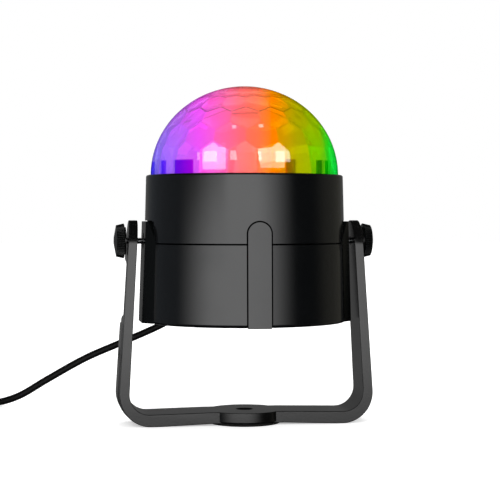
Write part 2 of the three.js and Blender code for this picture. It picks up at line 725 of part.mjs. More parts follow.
// Dome: the outside is half an ellipsoid, and the inside is the space between flat facets
function dome() {
	const arc = (wide, high) => Array.from({ length: domeSteps + 1 }, (_, i) => {
		const angle = Math.PI / 2 * i / domeSteps;
		return [i === domeSteps ? 0 : wide * Math.cos(angle), rimZ + high * Math.sin(angle)];
	});
	const neckBottom = seatZ + seatGap;
	const body = revolve([
		[0, neckBottom], [neckOuter, neckBottom], [neckOuter, shoulderZ], [domeRadius, shoulderZ],
		...arc(domeRadius, domeRise),
	], domeSides);
	const shoulderTop = shoulderZ + neckWall;
	const thin = domeRadius - domeThinWall;
	let cavity = revolve([[0, shoulderTop], [thin, shoulderTop], ...arc(thin, domeRise - domeThinWall)], domeSides);
	const [wide, high] = [domeRadius - domeWall, domeRise - domeWall];
	const mean = (wide + high) / 2;
	facetRows.forEach(([count, start], row) => {
		const rise = count === 1 ? Math.PI / 2 : (facetRise + row * facetPitch) / mean;
		around(count, THREE.MathUtils.degToRad(start)).forEach((turn) => {
			const point = new THREE.Vector3(...polar(wide * Math.cos(rise), turn), high * Math.sin(rise));
			const normal = new THREE.Vector3(point.x / wide ** 2, point.y / wide ** 2, point.z / high ** 2).normalize();
			const reach = normal.dot(point) + normal.z * rimZ;
			cavity = cavity.trimByPlane(normal.clone().negate().toArray(), -reach);
		});
	});
	const neckBore = rod(neckInner, neckBottom - overrun, shoulderTop + overrun, domeSides);
	return body.subtract(cavity).subtract(neckBore);
}
add(turret, 'dome', dome(), clear);

// Deck plate: carries the motor, the light source and the track that the ring gear runs on
const deckRadius = shellInner(deckTop) - seatGap;
const motorPlace = [0, gearDistance];
const earPlaces = [-1, 1].map((side) => [side * motorEarSpan, gearDistance]);
function deckPlate() {
	const trackTop = gearBottom - seatGap;
	const plate = revolve([
		[0, deckBottom], [deckRadius, deckBottom], [deckRadius, trackTop],
		[deckRadius - deckTrackWidth, trackTop], [deckRadius - deckTrackWidth, deckTop], [0, deckTop],
	]);
	const stands = plateStandAngles.map((angle) =>
		rod(plateStandRadius, deckBottom + deckThickness / 2, plateBottom - seatGap, coarse)
			.translate([...polar(plateStandCircle, angle), 0]));
	const holes = [
		...postAngles.map((angle) => rod(screwShank + seatGap, deckBottom - overrun, deckTop + overrun, screwSides)
			.translate([...polar(postCircle, angle), 0])),
		...plateStandAngles.map((angle) =>
			rod(screwShank + seatGap, plateTop - plateScrewLength - overrun, plateTop + overrun, screwSides)
				.translate([...polar(plateStandCircle, angle), 0])),
		...earPlaces.map(([x, y]) => rod(screwShank + seatGap, deckBottom - overrun, deckTop + overrun, screwSides)
			.translate([x, y, 0])),
		rod(pinionBore, deckBottom - overrun, deckTop + overrun, coarse).translate([...motorPlace, 0]),
	];
	return wasm.Manifold.union([plate, ...stands]).subtract(wasm.Manifold.union(holes));
}
add(head, 'deck_plate', deckPlate(), blackInner);

// Heat sink: a slotted disc under the light source
function heatSink() {
	const slots = around(sinkSlots).map((angle) =>
		prism(rectangle(sinkRadius * 2 / 3, -sinkSlotWidth / 2, sinkRadius + overrun, sinkSlotWidth / 2),
			sinkBottom - overrun, sinkBottom + sinkThickness + overrun)
			.rotate([0, 0, THREE.MathUtils.radToDeg(angle)]));
	return rod(sinkRadius, sinkBottom, sinkBottom + sinkThickness).subtract(wasm.Manifold.union(slots));
}
add(head, 'heat_sink', heatSink(), aluminium);
add(head, 'led_board', rod(ledBoardRadius, ledBoardBottom, ledBoardBottom + ledBoardThickness), whitePlastic);

// Light source: three coloured chips, each under a cone lens that stands in the light plate
const lights = [['red', redLight], ['green', greenLight], ['blue', blueLight]];
const ledSolid = prism(rectangle(-ledSide / 2, -ledSide / 2, ledSide / 2, ledSide / 2), 0, ledThickness);
const lensSolid = revolve([
	[0, 0], [lensFoot, 0], [lensMouth, lensHeight - lensLip], [lensMouth, lensHeight], [0, lensHeight],
], medium);
lights.forEach(([colour, light], i) => {
	const [x, y] = polar(ledCircle, -Math.PI / 2 + 2 * Math.PI * i / lights.length);
	add(head, `${colour}_led`, ledSolid, light).position.set(x, y, ledBottom);
	add(head, `${colour}_lens`, lensSolid, clear).position.set(x, y, lensBottom);
});

// Light plate: hides the gears and holds the lenses
function lightPlate() {
	const plate = rod(neckInner - turnGap, plateBottom, plateTop, fine);
	const lensHole = revolve([
		[0, plateBottom - overrun], [lensRadius(plateBottom - overrun) + seatGap, plateBottom - overrun],
		[lensRadius(plateTop + overrun) + seatGap, plateTop + overrun], [0, plateTop + overrun],
	], medium);
	const holes = lights.map((_, i) =>
		lensHole.translate([...polar(ledCircle, -Math.PI / 2 + 2 * Math.PI * i / lights.length), 0]));
	const screwHoles = plateStandAngles.map((angle) =>
		rod(screwShank + seatGap, plateBottom - overrun, plateTop + overrun, screwSides)
			.translate([...polar(plateStandCircle, angle), 0]));
	return plate.subtract(wasm.Manifold.union([...holes, ...screwHoles]));
}
add(head, 'light_plate', lightPlate(), whitePlastic);

// Motor: hangs under the deck by two ears, with the pinion's shaft in its top
function motor() {
	const top = deckBottom - seatGap;
	const ears = prism(rectangle(-motorEarSpan, -motorEarRadius, motorEarSpan, motorEarRadius),
		top - motorEarThickness, top);
	const ends = [-1, 1].map((side) =>
		rod(motorEarRadius, top - motorEarThickness, top, coarse).translate([side * motorEarSpan, 0, 0]));
	const holes = [-1, 1].map((side) =>
		rod(screwShank + seatGap, top - motorEarThickness - overrun, top + overrun, screwSides)
			.translate([side * motorEarSpan, 0, 0]));
	const bore = rod(pinionBore / 2, top - motorBoreDepth, top + overrun, coarse);
	return wasm.Manifold.union([
		rod(motorRadius, top - motorHeight, top),
		rod(motorCapRadius, top - motorHeight - motorCapHeight, top - motorHeight + motorCapHeight),
		ears, ...ends,
	]).subtract(wasm.Manifold.union([...holes, bore]));
}
add(head, 'gear_motor', motor(), steel).position.set(...motorPlace, 0);
add(head, 'motor_shaft', rod(shaftBore / 2, deckBottom - motorBoreDepth, seatZ, coarse), steel)
	.position.set(...motorPlace, 0);

// Screws: a slotted round head over a plain shank, with the head down at zero and the shank below
function screw(length) {
	const cap = rod(screwHead, 0, screwHeadHeight, coarse);
	const shank = rod(screwShank, -length, screwHeadHeight / 2, screwSides);
	const slot = prism(rectangle(-screwHead - overrun, -screwSlot / 2, screwHead + overrun, screwSlot / 2),
		screwHeadHeight - screwSlotDepth, screwHeadHeight + overrun);
	return cap.add(shank).subtract(slot);
}
postAngles.forEach((angle, i) => {
	const [x, y] = polar(postCircle, angle);
	const low = add(head, `case_screw_${i + 1}`, screw(caseScrewLength), steel);
	low.position.set(x, y, seamZ - caseScrewDrop - seatGap);
	low.rotation.x = Math.PI;
	add(head, `deck_screw_${i + 1}`, screw(deckScrewLength), steel).position.set(x, y, deckTop + seatGap);
});
plateStandAngles.forEach((angle, i) => {
	add(head, `plate_screw_${i + 1}`, screw(plateScrewLength), steel)
		.position.set(...polar(plateStandCircle, angle), plateTop + seatGap);
});
earPlaces.forEach(([x, y], i) => {
	add(head, `motor_screw_${i + 1}`, screw(motorScrewLength), steel).position.set(x, y, deckTop + seatGap);
});

// Control board, with the switch that the button presses, the microphone, a chip and the power socket
function controlBoard() {
	const board = prism(rectangle(-boardLength / 2, boardCentre - boardWidth / 2,
		boardLength / 2, boardCentre + boardWidth / 2, padCorner), boardBottom, boardBottom + boardThickness);
	const holes = boardStands.map(([x, y]) =>
		rod(screwShank + seatGap, boardBottom - overrun, boardBottom + boardThickness + overrun, screwSides)
			.translate([x, y, 0]));
	return board.subtract(wasm.Manifold.union(holes));
}
add(head, 'control_board', controlBoard(), greenBoard);
boardStands.forEach(([x, y], i) => {
	add(head, `board_screw_${i + 1}`, screw(boardScrewLength), steel)
		.position.set(x, y, boardBottom + boardThickness + seatGap);
});
const switchTop = boardBottom - seatGap;
const switchFoot = switchTop - switchBody;
add(head, 'tact_switch', prism(rectangle(-switchSide / 2, -switchSide / 2, switchSide / 2, switchSide / 2),
	switchFoot, switchTop), blackChip).position.set(...buttonPlace, 0);
add(head, 'microphone', rod(micRadius, switchTop - micHeight, switchTop), aluminium).position.set(...micPlace, 0);
const boardTop = boardBottom + boardThickness + seatGap;
add(head, 'driver_chip', prism(rectangle(-chipLength / 2, -chipWidth / 2, chipLength / 2, chipWidth / 2),
	boardTop, boardTop + chipThickness), blackChip).position.set(0, boardCentre, 0);
const socketSolid = prism(rectangle(-socketLength / 2, -socketWidth / 2, socketLength / 2, socketWidth / 2),
	boardTop, boardTop + socketHeight)
	.subtract(prism(rectangle(-socketLength / 2 + socketWall, -socketWidth / 2 + socketWall,
		socketLength / 2 - socketWall, socketWidth / 2 - socketWall),
	boardTop + socketFloor, boardTop + socketHeight + overrun));
add(head, 'power_socket', socketSolid, whitePlastic)
	.position.set(glandAcross + socketLength, boardCentre + boardWidth / 2 - socketWidth, 0);

// Mode button: a stepped plunger in the bottom of the head
function modeButton() {
	const low = bodyBottom - buttonProud;
	const flangeLow = floorTop + seatGap;
	const flangeTop = flangeLow + buttonFlangeThickness;
	const top = switchFoot - seatGap - buttonTravel;
	return revolve([
		[0, low], [buttonRadius - buttonProud / 2, low], [buttonRadius, low + buttonProud / 2],
		[buttonRadius, flangeLow], [buttonRadius + buttonFlange, flangeLow], [buttonRadius + buttonFlange, flangeTop],
		[buttonStem, flangeTop], [buttonStem, top], [0, top],
	], medium);
}
add(head, 'mode_button', modeButton(), whitePlastic).position.set(...buttonPlace, 0);

// Cord: a free lead, then a put-away coil in two layers, whose tail ends at the plug
const along = (distance) => fromPivot(distance).toArray();
const leadStart = glandEnd + seatGap;
const leadPoints = [
	along(leadStart), along(leadStart + cordRadius * 2),
	[-18.6, 60.9, 40.6], [-28.3, 62.6, 34.9], [-44.5, 62.8, 27.9], [-61.1, 62.8, 20.9], [-78, 63.4, 11.6],
	[-90, 64.6, 4.6], [-99, 65.8, 1.8], [-109, 66.2, cordRadius], [-121, 66.2, cordRadius],
].map((p) => new THREE.Vector3(...p));
const leadEnd = leadPoints.at(-1);
const leadCurve = new THREE.CatmullRomCurve3(leadPoints, false, 'centripetal');
function tube(points, sides, steps) {
	const curve = new THREE.CatmullRomCurve3(points, false, 'centripetal');
	const section = new THREE.Shape(around(sides, Math.PI / sides).map((angle) =>
		new THREE.Vector2(...polar(cordRadius, angle))));
	return toSolid(new THREE.ExtrudeGeometry(section, { steps, extrudePath: curve, bevelEnabled: false }));
}
const leadSteps = Math.ceil(leadCurve.getLength() / (cordRadius * 5));
add(stand, 'cord_lead', tube(leadPoints, cordSides, leadSteps), blackCord);

// The coil starts where the lead ends, spirals in on the floor, climbs at the middle and spirals out above.
// Its inner radius follows from the length that is left over.
function coilPath() {
	const straight = cordRadius * 2;
	const turning = 2 * Math.PI * coilTurns;
	const left = cordLength - leadCurve.getLength() - tailLength - 2 * straight;
	const inner = left / turning - coilPitch * coilTurns / 4;
	const outer = inner + coilPitch * coilTurns / 2;
	const centre = new THREE.Vector3(leadEnd.x - seatGap - straight, leadEnd.y - outer, 0);
	const points = [new THREE.Vector3(leadEnd.x - seatGap, leadEnd.y, cordRadius)];
	const count = Math.round(coilTurns * coilSteps);
	for (let i = 0; i <= count; i++) {
		const angle = turning * i / count;
		const radius = inner + coilPitch * Math.abs(angle - turning / 2) / (2 * Math.PI);
		const climb = THREE.MathUtils.smoothstep(angle, turning / 2 - Math.PI / 2, turning / 2 + Math.PI / 2);
		points.push(new THREE.Vector3(...polar(radius, Math.PI / 2 + angle), cordRadius + coilLift * climb).add(centre));
	}
	const end = points.at(-1);
	for (let i = 1; i <= tailSteps; i++) {
		const drop = THREE.MathUtils.smoothstep(i / tailSteps, 0, 1);
		points.push(new THREE.Vector3(end.x, end.y - tailLength * i / tailSteps,
			end.z + (plugHeight / 2 - end.z) * drop));
	}
	const last = points.at(-1).clone();
	points.push(last.setY(last.y - straight));
	return points;
}

// A tube through points, with the same section at each, turned upright and closed at both ends.
function coilTube(points) {
	const rings = points.map((point, i) => {
		const way = points[Math.min(i + 1, points.length - 1)].clone().sub(points[Math.max(i - 1, 0)]).normalize();
		const across = new THREE.Vector3(-way.y, way.x, 0).normalize();
		const up = way.clone().cross(across).normalize();
		return around(coilSides, Math.PI / 2).map((angle) => point.clone()
			.addScaledVector(across, cordRadius * Math.cos(angle)).addScaledVector(up, cordRadius * Math.sin(angle)));
	});
	const index = [];
	const corner = (ring, side) => ring * coilSides + (side + coilSides) % coilSides;
	for (let r = 0; r < rings.length - 1; r++) {
		for (let s = 0; s < coilSides; s++) {
			index.push(corner(r, s), corner(r, s + 1), corner(r + 1, s));
			index.push(corner(r + 1, s), corner(r, s + 1), corner(r + 1, s + 1));
		}
	}
	for (let s = 1; s < coilSides - 1; s++) {
		index.push(corner(0, 0), corner(0, s + 1), corner(0, s));
		index.push(corner(rings.length - 1, 0), corner(rings.length - 1, s), corner(rings.length - 1, s + 1));
	}
	const geometry = new THREE.BufferGeometry().setFromPoints(rings.flat());
	geometry.setIndex(index);
	return toSolid(geometry);
}
const coilPoints = coilPath();
add(stand, 'cord_coil', coilTube(coilPoints), blackCord);

// The least gap between turns, measured between points half a turn or more apart along the cord
function leastGap(points) {
	const dense = new THREE.CatmullRomCurve3(points, false, 'centripetal').getPoints(points.length * 4);
	const apart = coilSteps * 2;
	let least = Infinity;
	for (let i = 0; i < dense.length; i++) {
		for (let k = i + apart; k < dense.length; k++) least = Math.min(least, dense[i].distanceTo(dense[k]));
	}
	return least - 2 * cordRadius;
}
console.log(`least gap between the coil's turns: ${leastGap(coilPoints).toFixed(2)} mm`);

// Plug: a moulded grip with a nose for the cord, a folded metal shell and a tongue inside it
const plugEnd = coilPoints.at(-1);
const plug = new THREE.Group();
plug.position.set(plugEnd.x, plugEnd.y - seatGap, plugEnd.z);
plug.rotation.x = Math.PI / 2;
stand.add(plug);
const gripStart = plugNose;
const gripEnd = plugNose + plugLength;
const shellStart = gripEnd + seatGap;
const [plugX, plugY] = [plugWidth / 2, plugHeight / 2];
add(plug, 'plug_grip', rod(plugNoseRadius, 0, gripStart + seatGap, coarse)
	.add(prism(rectangle(-plugX, -plugY, plugX, plugY, plugCorner), gripStart, gripEnd)), blackCord);
const [shellX, shellY] = [plugShellWidth / 2, plugShellHeight / 2];
const [boreX, boreY] = [shellX - plugShellWall, shellY - plugShellWall];
add(plug, 'plug_shell', prism(rectangle(-shellX, -shellY, shellX, shellY), shellStart, shellStart + plugShellLength)
	.subtract(prism(rectangle(-boreX, -boreY, boreX, boreY), shellStart - overrun,
		shellStart + plugShellLength + overrun)), steel);
add(plug, 'plug_tongue', prism(rectangle(-boreX + seatGap, -boreY + seatGap, boreX - seatGap,
	-boreY + seatGap + plugTongueHeight), shellStart, shellStart + plugShellLength - seatGap), whitePlastic);

export default object;
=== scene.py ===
import json
import math

import bmesh
import bpy
from mathutils import Matrix, Vector

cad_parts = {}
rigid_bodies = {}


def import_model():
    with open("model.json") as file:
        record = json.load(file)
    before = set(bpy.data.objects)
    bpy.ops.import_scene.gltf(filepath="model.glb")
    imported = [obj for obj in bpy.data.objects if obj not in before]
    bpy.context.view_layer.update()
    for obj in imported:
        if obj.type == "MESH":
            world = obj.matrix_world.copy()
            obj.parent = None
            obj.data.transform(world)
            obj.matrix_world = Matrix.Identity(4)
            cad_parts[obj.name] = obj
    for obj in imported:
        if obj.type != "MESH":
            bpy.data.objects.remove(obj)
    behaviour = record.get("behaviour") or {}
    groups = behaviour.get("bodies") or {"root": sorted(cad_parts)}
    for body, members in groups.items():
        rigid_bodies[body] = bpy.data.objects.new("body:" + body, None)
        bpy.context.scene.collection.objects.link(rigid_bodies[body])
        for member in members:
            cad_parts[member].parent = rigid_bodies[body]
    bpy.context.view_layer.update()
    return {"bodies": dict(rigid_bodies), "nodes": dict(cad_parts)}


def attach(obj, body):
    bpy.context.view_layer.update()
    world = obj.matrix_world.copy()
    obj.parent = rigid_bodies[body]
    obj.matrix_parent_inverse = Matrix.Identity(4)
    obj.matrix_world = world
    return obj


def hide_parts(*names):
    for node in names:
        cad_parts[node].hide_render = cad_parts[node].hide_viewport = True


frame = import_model()
nodes = frame["nodes"]
scene = bpy.context.scene
MM = 0.001


# Camera
# A long lens on a tripod, 0.6 m from the light's axis and a little to its left, level with the
# head.
CAMERA_DISTANCE = 600 * MM
CAMERA_HEIGHT = 82.7 * MM
CAMERA_AZIMUTH = math.radians(8.4)
CAMERA_YAW = math.radians(0.215)
CAMERA_PITCH = math.radians(1.267)
camera = bpy.data.objects.new("camera", bpy.data.cameras.new("camera"))
camera.data.sensor_width = 36
camera.data.lens = 107.4
camera.data.clip_start = 0.01
camera.location = (
    -CAMERA_DISTANCE * math.sin(CAMERA_AZIMUTH),
    -CAMERA_DISTANCE * math.cos(CAMERA_AZIMUTH),
    CAMERA_HEIGHT,
)
camera.rotation_euler = (math.radians(90) - CAMERA_PITCH, 0, -CAMERA_AZIMUTH - CAMERA_YAW)
scene.collection.objects.link(camera)
scene.camera = camera
scene.view_settings.view_transform = "Standard"


def linear(colour):
    """Turns an sRGB hex value into linear red, green, blue and alpha."""
    parts = [int(colour[i : i + 2], 16) / 255 for i in (1, 3, 5)]
    return [p / 12.92 if p <= 0.04045 else ((p + 0.055) / 1.055) ** 2.4 for p in parts] + [1]


def feed(made, inputs):
    """Sets a node's inputs, each to a value or from a socket or another node's first socket."""
    for socket, value in inputs.items():
        if isinstance(value, bpy.types.Node):
            value = value.outputs[0]
        if isinstance(value, bpy.types.NodeSocket):
            made.id_data.links.new(value, made.inputs[socket])
        else:
            made.inputs[socket].default_value = value


def node(tree, kind, inputs=None, **settings):
    """Adds a shader node with its settings and inputs."""
    made = tree.nodes.new("ShaderNode" + kind)
    for name, value in settings.items():
        setattr(made, name, value)
    feed(made, inputs or {})
    return made


# Studio
# A white room for the eye, with soft light from the front and above. What the black plastic
# mirrors is a dark tent with a lit wall behind the camera, so its sides stay dark.
WHITE = linear("#ffffff")
ROOM_LIGHT = 0.45


def seen(tree):
    """Is 1 where the eye sees a thing straight on, mirrored or through something clear."""
    rays = node(tree, "LightPath").outputs
    either = node(
        tree, "Math", {0: rays["Is Camera Ray"], 1: rays["Is Glossy Ray"]}, operation="MAXIMUM"
    )
    return node(tree, "Math", {0: either, 1: rays["Is Transmission Ray"]}, operation="MAXIMUM")


world = bpy.data.worlds.new("room")
world.use_nodes = True
scene.world = world
room = world.node_tree
strength = node(room, "MapRange", {"Value": seen(room), "To Min": ROOM_LIGHT})
feed(room.nodes["Background"], {"Color": WHITE, "Strength": strength})


def stage_mesh(name, points, faces, material):
    """Adds a mesh that isn't part of the object."""
    mesh = bpy.data.meshes.new(name)
    mesh.from_pydata(points, [], faces)
    mesh.materials.append(material)
    made = bpy.data.objects.new(name, mesh)
    scene.collection.objects.link(made)
    return made


def empty_material(name):
    """Adds a material with nothing but its output."""
    made = bpy.data.materials.new(name)
    made.use_nodes = True
    made.node_tree.nodes.clear()
    return made, made.node_tree


# A paper floor that keeps its soft shadow near the light and turns into white further out
FLOOR_HALF = 4
PAPER_GLOW = 0.48
GLOW_FROM = 0.15
GLOW_FULL = 1.2
paper, tree = empty_material("floor_paper")
geometry = node(tree, "NewGeometry")
away = node(tree, "VectorMath", {0: geometry}, operation="LENGTH")
rising = node(tree, "MapRange", {"Value": away.outputs["Value"], "To Min": PAPER_GLOW})
feed(rising, {"From Min": GLOW_FROM, "From Max": GLOW_FULL})
glow = node(tree, "Math", {0: seen(tree), 1: rising}, operation="MULTIPLY")
lit = node(tree, "BsdfDiffuse", {"Color": linear("#f4f4f4")})
light = node(tree, "Emission", {"Color": WHITE, "Strength": glow})
both = node(tree, "AddShader", {0: lit, 1: light})
node(tree, "OutputMaterial", {"Surface": both})
corners = [(x * FLOOR_HALF, y * FLOOR_HALF, 0) for x, y in ((-1, -1), (1, -1), (1, 1), (-1, 1))]
floor = stage_mesh("floor", corners, [(0, 1, 2, 3)], paper)
floor.visible_glossy = False


def lamp(name, place, size, power):
    """A soft square lamp aimed at the head."""
    data = bpy.data.lights.new(name, "AREA")
    data.shape = "SQUARE"
    data.size = size
    data.energy = power
    made = bpy.data.objects.new(name, data)
    made.location = place
    aim = Vector((0, 0, CAMERA_HEIGHT)) - made.location
    made.rotation_euler = aim.to_track_quat("-Z", "Y").to_euler()
    made.visible_glossy = False
    scene.collection.objects.link(made)


# Each with its place and side in metres and its power in watts
lamp("front_lamp", (-0.5, -1.2, 0.8), 0.8, 12)
lamp("side_lamp", (1.1, -0.5, 0.7), 0.7, 5)
lamp("top_lamp", (0.1, 0.3, 1.4), 0.9, 8)


# What the gloss mirrors, as panels of light on the tent. Each row holds its left and right edge
# and how soft they are, its lower and upper edge and how soft each is, all in degrees, then its
# strength and tint.
PANELS = [
    (-65, 28, 26, -7.2, 3.2, 2, 2, 3.15, "#ffffff"),
    (-45, 28, 24, 3.2, 15, 2, 4, 3.15, "#ffffff"),
    (-240, -150, 14, -30, 30, 20, 20, 0.16, "#ffffff"),
    (-150, -80, 14, -30, 30, 20, 20, 0.17, "#dfe8f4"),
    (86, 140, 14, -30, 30, 20, 20, 0.15, "#f4f0dc"),
    (140, 240, 14, -30, 30, 20, 20, 0.14, "#ffffff"),
]
TENT_RADIUS = 2.2
cloth, tree = empty_material("tent_cloth")
geometry = node(tree, "NewGeometry")
way = node(tree, "VectorMath", {0: geometry, 1: (0, 0, CAMERA_HEIGHT)}, operation="SUBTRACT")
way = node(tree, "VectorMath", {0: way}, operation="NORMALIZE")
parts = node(tree, "SeparateXYZ", {0: way})
back = node(tree, "Math", {0: parts.outputs["Y"], 1: -1.0}, operation="MULTIPLY")
azimuth = node(tree, "Math", {0: parts.outputs["X"], 1: back}, operation="ARCTAN2")
elevation = node(tree, "Math", {0: parts.outputs["Z"]}, operation="ARCSINE")
total = None
for left, right, soft, low, high, below, above, power, tint in PANELS:
    strength = power
    for angle, edge, blur, start, end in (
        (azimuth, left, soft, 0.0, 1.0),
        (azimuth, right, soft, 1.0, 0.0),
        (elevation, low, below, 0.0, 1.0),
        (elevation, high, above, 1.0, 0.0),
    ):
        share = node(tree, "MapRange", {"Value": angle}, interpolation_type="SMOOTHSTEP")
        feed(share, {"From Min": math.radians(edge - blur), "From Max": math.radians(edge + blur)})
        feed(share, {"To Min": start, "To Max": end})
        strength = node(tree, "Math", {0: share, 1: strength}, operation="MULTIPLY")
    panel = node(tree, "Emission", {"Color": linear(tint), "Strength": strength})
    if total is None:
        total = panel
    else:
        total = node(tree, "AddShader", {0: total, 1: panel})
node(tree, "OutputMaterial", {"Surface": total})
globe = bmesh.new()
bmesh.ops.create_uvsphere(globe, u_segments=64, v_segments=32, radius=TENT_RADIUS)
tent_points = [(v.co.x, v.co.y, v.co.z + CAMERA_HEIGHT) for v in globe.verts]
tent_faces = [[v.index for v in f.verts] for f in globe.faces]
globe.free()
tent = stage_mesh("dark_tent", tent_points, tent_faces, cloth)
for ray in ("camera", "diffuse", "transmission", "shadow", "volume_scatter"):
    setattr(tent, f"visible_{ray}", False)
off_dome = bpy.data.collections.new("off_dome")
tent.light_linking.receiver_collection = off_dome

# Softboxes, flagged so that they shine in the dome alone. Each row holds its strength, how much
# nearer it stands than the rest, in metres, and its corners' directions in degrees.
SOFTBOX_AWAY = TENT_RADIUS - 0.1
SOFTBOXES = [
    (5, 0, [(-59.1, 6.2), (-30.3, 6.3), (-33.6, 34.8), (-42.6, 34.3), (-54.1, 39.8), (-65.1, 29.7)]),
    (6.5, 0, [(9.7, 16), (49.2, 14.8), (52.8, 25.6), (41.4, 39.3), (28.2, 34.1), (9.2, 33.2)]),
    (4, 0, [(11.1, 8.2), (40.7, 8), (41.7, 15.2), (9.7, 16)]),
    (11, 0.3, [(-59.7, 15.7), (-42.1, 16.3), (-44.7, 29.6), (-62.6, 27.5)]),
    (13, 0.3, [(29.9, 15.6), (41.7, 15.2), (45.6, 28.2), (33, 29.2)]),
    (12, 0.3, [(9.5, 18.6), (12.7, 18.6), (13.6, 29.7), (9.1, 29.8)]),
    (6, 0.3, [(-26, 18.6), (-16.8, 18.7), (-20.1, 31.3), (-26.7, 30.5)]),
    (4, 0.3, [(-68.4, 17), (-64.9, 17.2), (-68.1, 26.4), (-71.8, 26)]),
    (6, 0.3, [(-34, 61.3), (-26.1, 61.8), (-28.9, 66.5), (-37.9, 65.8)]),
    (6, 0.3, [(22.9, 62.3), (32.1, 61.2), (38.5, 65.5), (28.3, 66.9)]),
]
on_dome = bpy.data.collections.new("on_dome")
for k, (power, nearer, corners) in enumerate(SOFTBOXES):
    screen, tree = empty_material(f"softbox_{k + 1}")
    light = node(tree, "Emission", {"Color": WHITE, "Strength": power})
    node(tree, "OutputMaterial", {"Surface": light})
    points = []
    for turn, rise in corners:
        turn, rise = math.radians(turn), math.radians(rise)
        out = (SOFTBOX_AWAY - nearer) * math.cos(rise)
        height = CAMERA_HEIGHT + (SOFTBOX_AWAY - nearer) * math.sin(rise)
        points.append((out * math.sin(turn), -out * math.cos(turn), height))
    softbox = stage_mesh(f"softbox_{k + 1}", points, [tuple(range(len(points)))], screen)
    for ray in ("camera", "diffuse", "shadow"):
        setattr(softbox, f"visible_{ray}", False)
    softbox.light_linking.receiver_collection = on_dome


# Cord
# A thin round lead with a soft PVC jacket. It leaves the strain relief at the back of the head,
# drops to the table and lies there in a put-away coil, whose end goes into the plug.
CORD_RADIUS = 1.5
CORD_LENGTH = 1000
CORD_SIDES = 20
SEAT_GAP = 0.3
PIVOT = 73.2
GLAND_ACROSS = -16
GLAND_LEAN = 0.487
GLAND_END = 61.5
LEAD_POINTS = [
    (-18.6, 60.9, 40.6),
    (-28.3, 62.6, 34.9),
    (-44.5, 62.8, 27.9),
    (-61.1, 62.8, 20.9),
    (-78, 63.4, 11.6),
    (-90, 64.6, 4.6),
    (-99, 65.8, 1.8),
    (-109, 66.2, 1.5),
    (-121, 66.2, 1.5),
]
LEAD_STEPS = 6
COIL_TURNS = 8.25
COIL_PITCH = 3.5
COIL_LIFT = 3.45
COIL_STEPS = 36
TAIL_LENGTH = 24
TAIL_STEPS = 10
PLUG_HEIGHT = 8
PATCH = 18
PATCH_LOW = 0.3
PATCH_HIGH = 0.7


def along_gland(distance):
    """A point on the strain relief's axis, at a distance from the pivot's line."""
    return Vector(
        (GLAND_ACROSS, distance * math.cos(GLAND_LEAN), PIVOT - distance * math.sin(GLAND_LEAN))
    )


def smoothstep(value, low, high):
    share = min(max((value - low) / (high - low), 0), 1)
    return share * share * (3 - 2 * share)


def spline(points, steps):
    """A smooth line through points, centripetal, with the same number of steps between each two."""
    ends = [2 * points[0] - points[1], *points, 2 * points[-1] - points[-2]]
    line = []
    for i in range(1, len(ends) - 2):
        a, b, c, d = ends[i - 1 : i + 3]
        ta = 0.0
        tb = ta + math.sqrt((b - a).length)
        tc = tb + math.sqrt((c - b).length)
        td = tc + math.sqrt((d - c).length)
        for k in range(steps):
            t = tb + (tc - tb) * k / steps
            ab = a.lerp(b, (t - ta) / (tb - ta))
            bc = b.lerp(c, (t - tb) / (tc - tb))
            cd = c.lerp(d, (t - tc) / (td - tc))
            abc = ab.lerp(bc, (t - ta) / (tc - ta))
            bcd = bc.lerp(cd, (t - tb) / (td - tb))
            line.append(abc.lerp(bcd, (t - tb) / (tc - tb)))
    line.append(points[-1].copy())
    return line


def path_length(points):
    return sum((b - a).length for a, b in zip(points, points[1:]))


lead_start = GLAND_END + SEAT_GAP
lead_points = [
    along_gland(lead_start),
    along_gland(lead_start + 2 * CORD_RADIUS),
    *(Vector(p) for p in LEAD_POINTS),
]
lead_path = spline(lead_points, LEAD_STEPS)
lead_end = lead_path[-1]

straight = 2 * CORD_RADIUS
turning = 2 * math.pi * COIL_TURNS
left_over = CORD_LENGTH - path_length(lead_path) - TAIL_LENGTH - 2 * straight
inner = left_over / turning - COIL_PITCH * COIL_TURNS / 4
outer = inner + COIL_PITCH * COIL_TURNS / 2
centre = Vector((lead_end.x - SEAT_GAP - straight, lead_end.y - outer, 0))
coil_path = [Vector((lead_end.x - SEAT_GAP, lead_end.y, CORD_RADIUS))]
steps = round(COIL_TURNS * COIL_STEPS)
for i in range(steps + 1):
    angle = turning * i / steps
    radius = inner + COIL_PITCH * abs(angle - turning / 2) / (2 * math.pi)
    climb = smoothstep(angle, turning / 2 - math.pi / 2, turning / 2 + math.pi / 2)
    around = math.pi / 2 + angle
    place = (radius * math.cos(around), radius * math.sin(around), CORD_RADIUS + COIL_LIFT * climb)
    coil_path.append(centre + Vector(place))
turn_end = coil_path[-1]
for i in range(1, TAIL_STEPS + 1):
    drop = smoothstep(i / TAIL_STEPS, 0, 1)
    back = TAIL_LENGTH * i / TAIL_STEPS
    fall = (PLUG_HEIGHT / 2 - turn_end.z) * drop
    coil_path.append(turn_end + Vector((0, -back, fall)))
coil_path.append(coil_path[-1] - Vector((0, straight, 0)))


def make_mesh(name, points, faces):
    """A closed mesh in millimetres, with its faces turned to point out."""
    mesh = bpy.data.meshes.new(name)
    mesh.from_pydata(points, [], faces)
    mesh.validate()
    solid = bmesh.new()
    solid.from_mesh(mesh)
    bmesh.ops.recalc_face_normals(solid, faces=solid.faces)
    solid.to_mesh(mesh)
    solid.free()
    return mesh


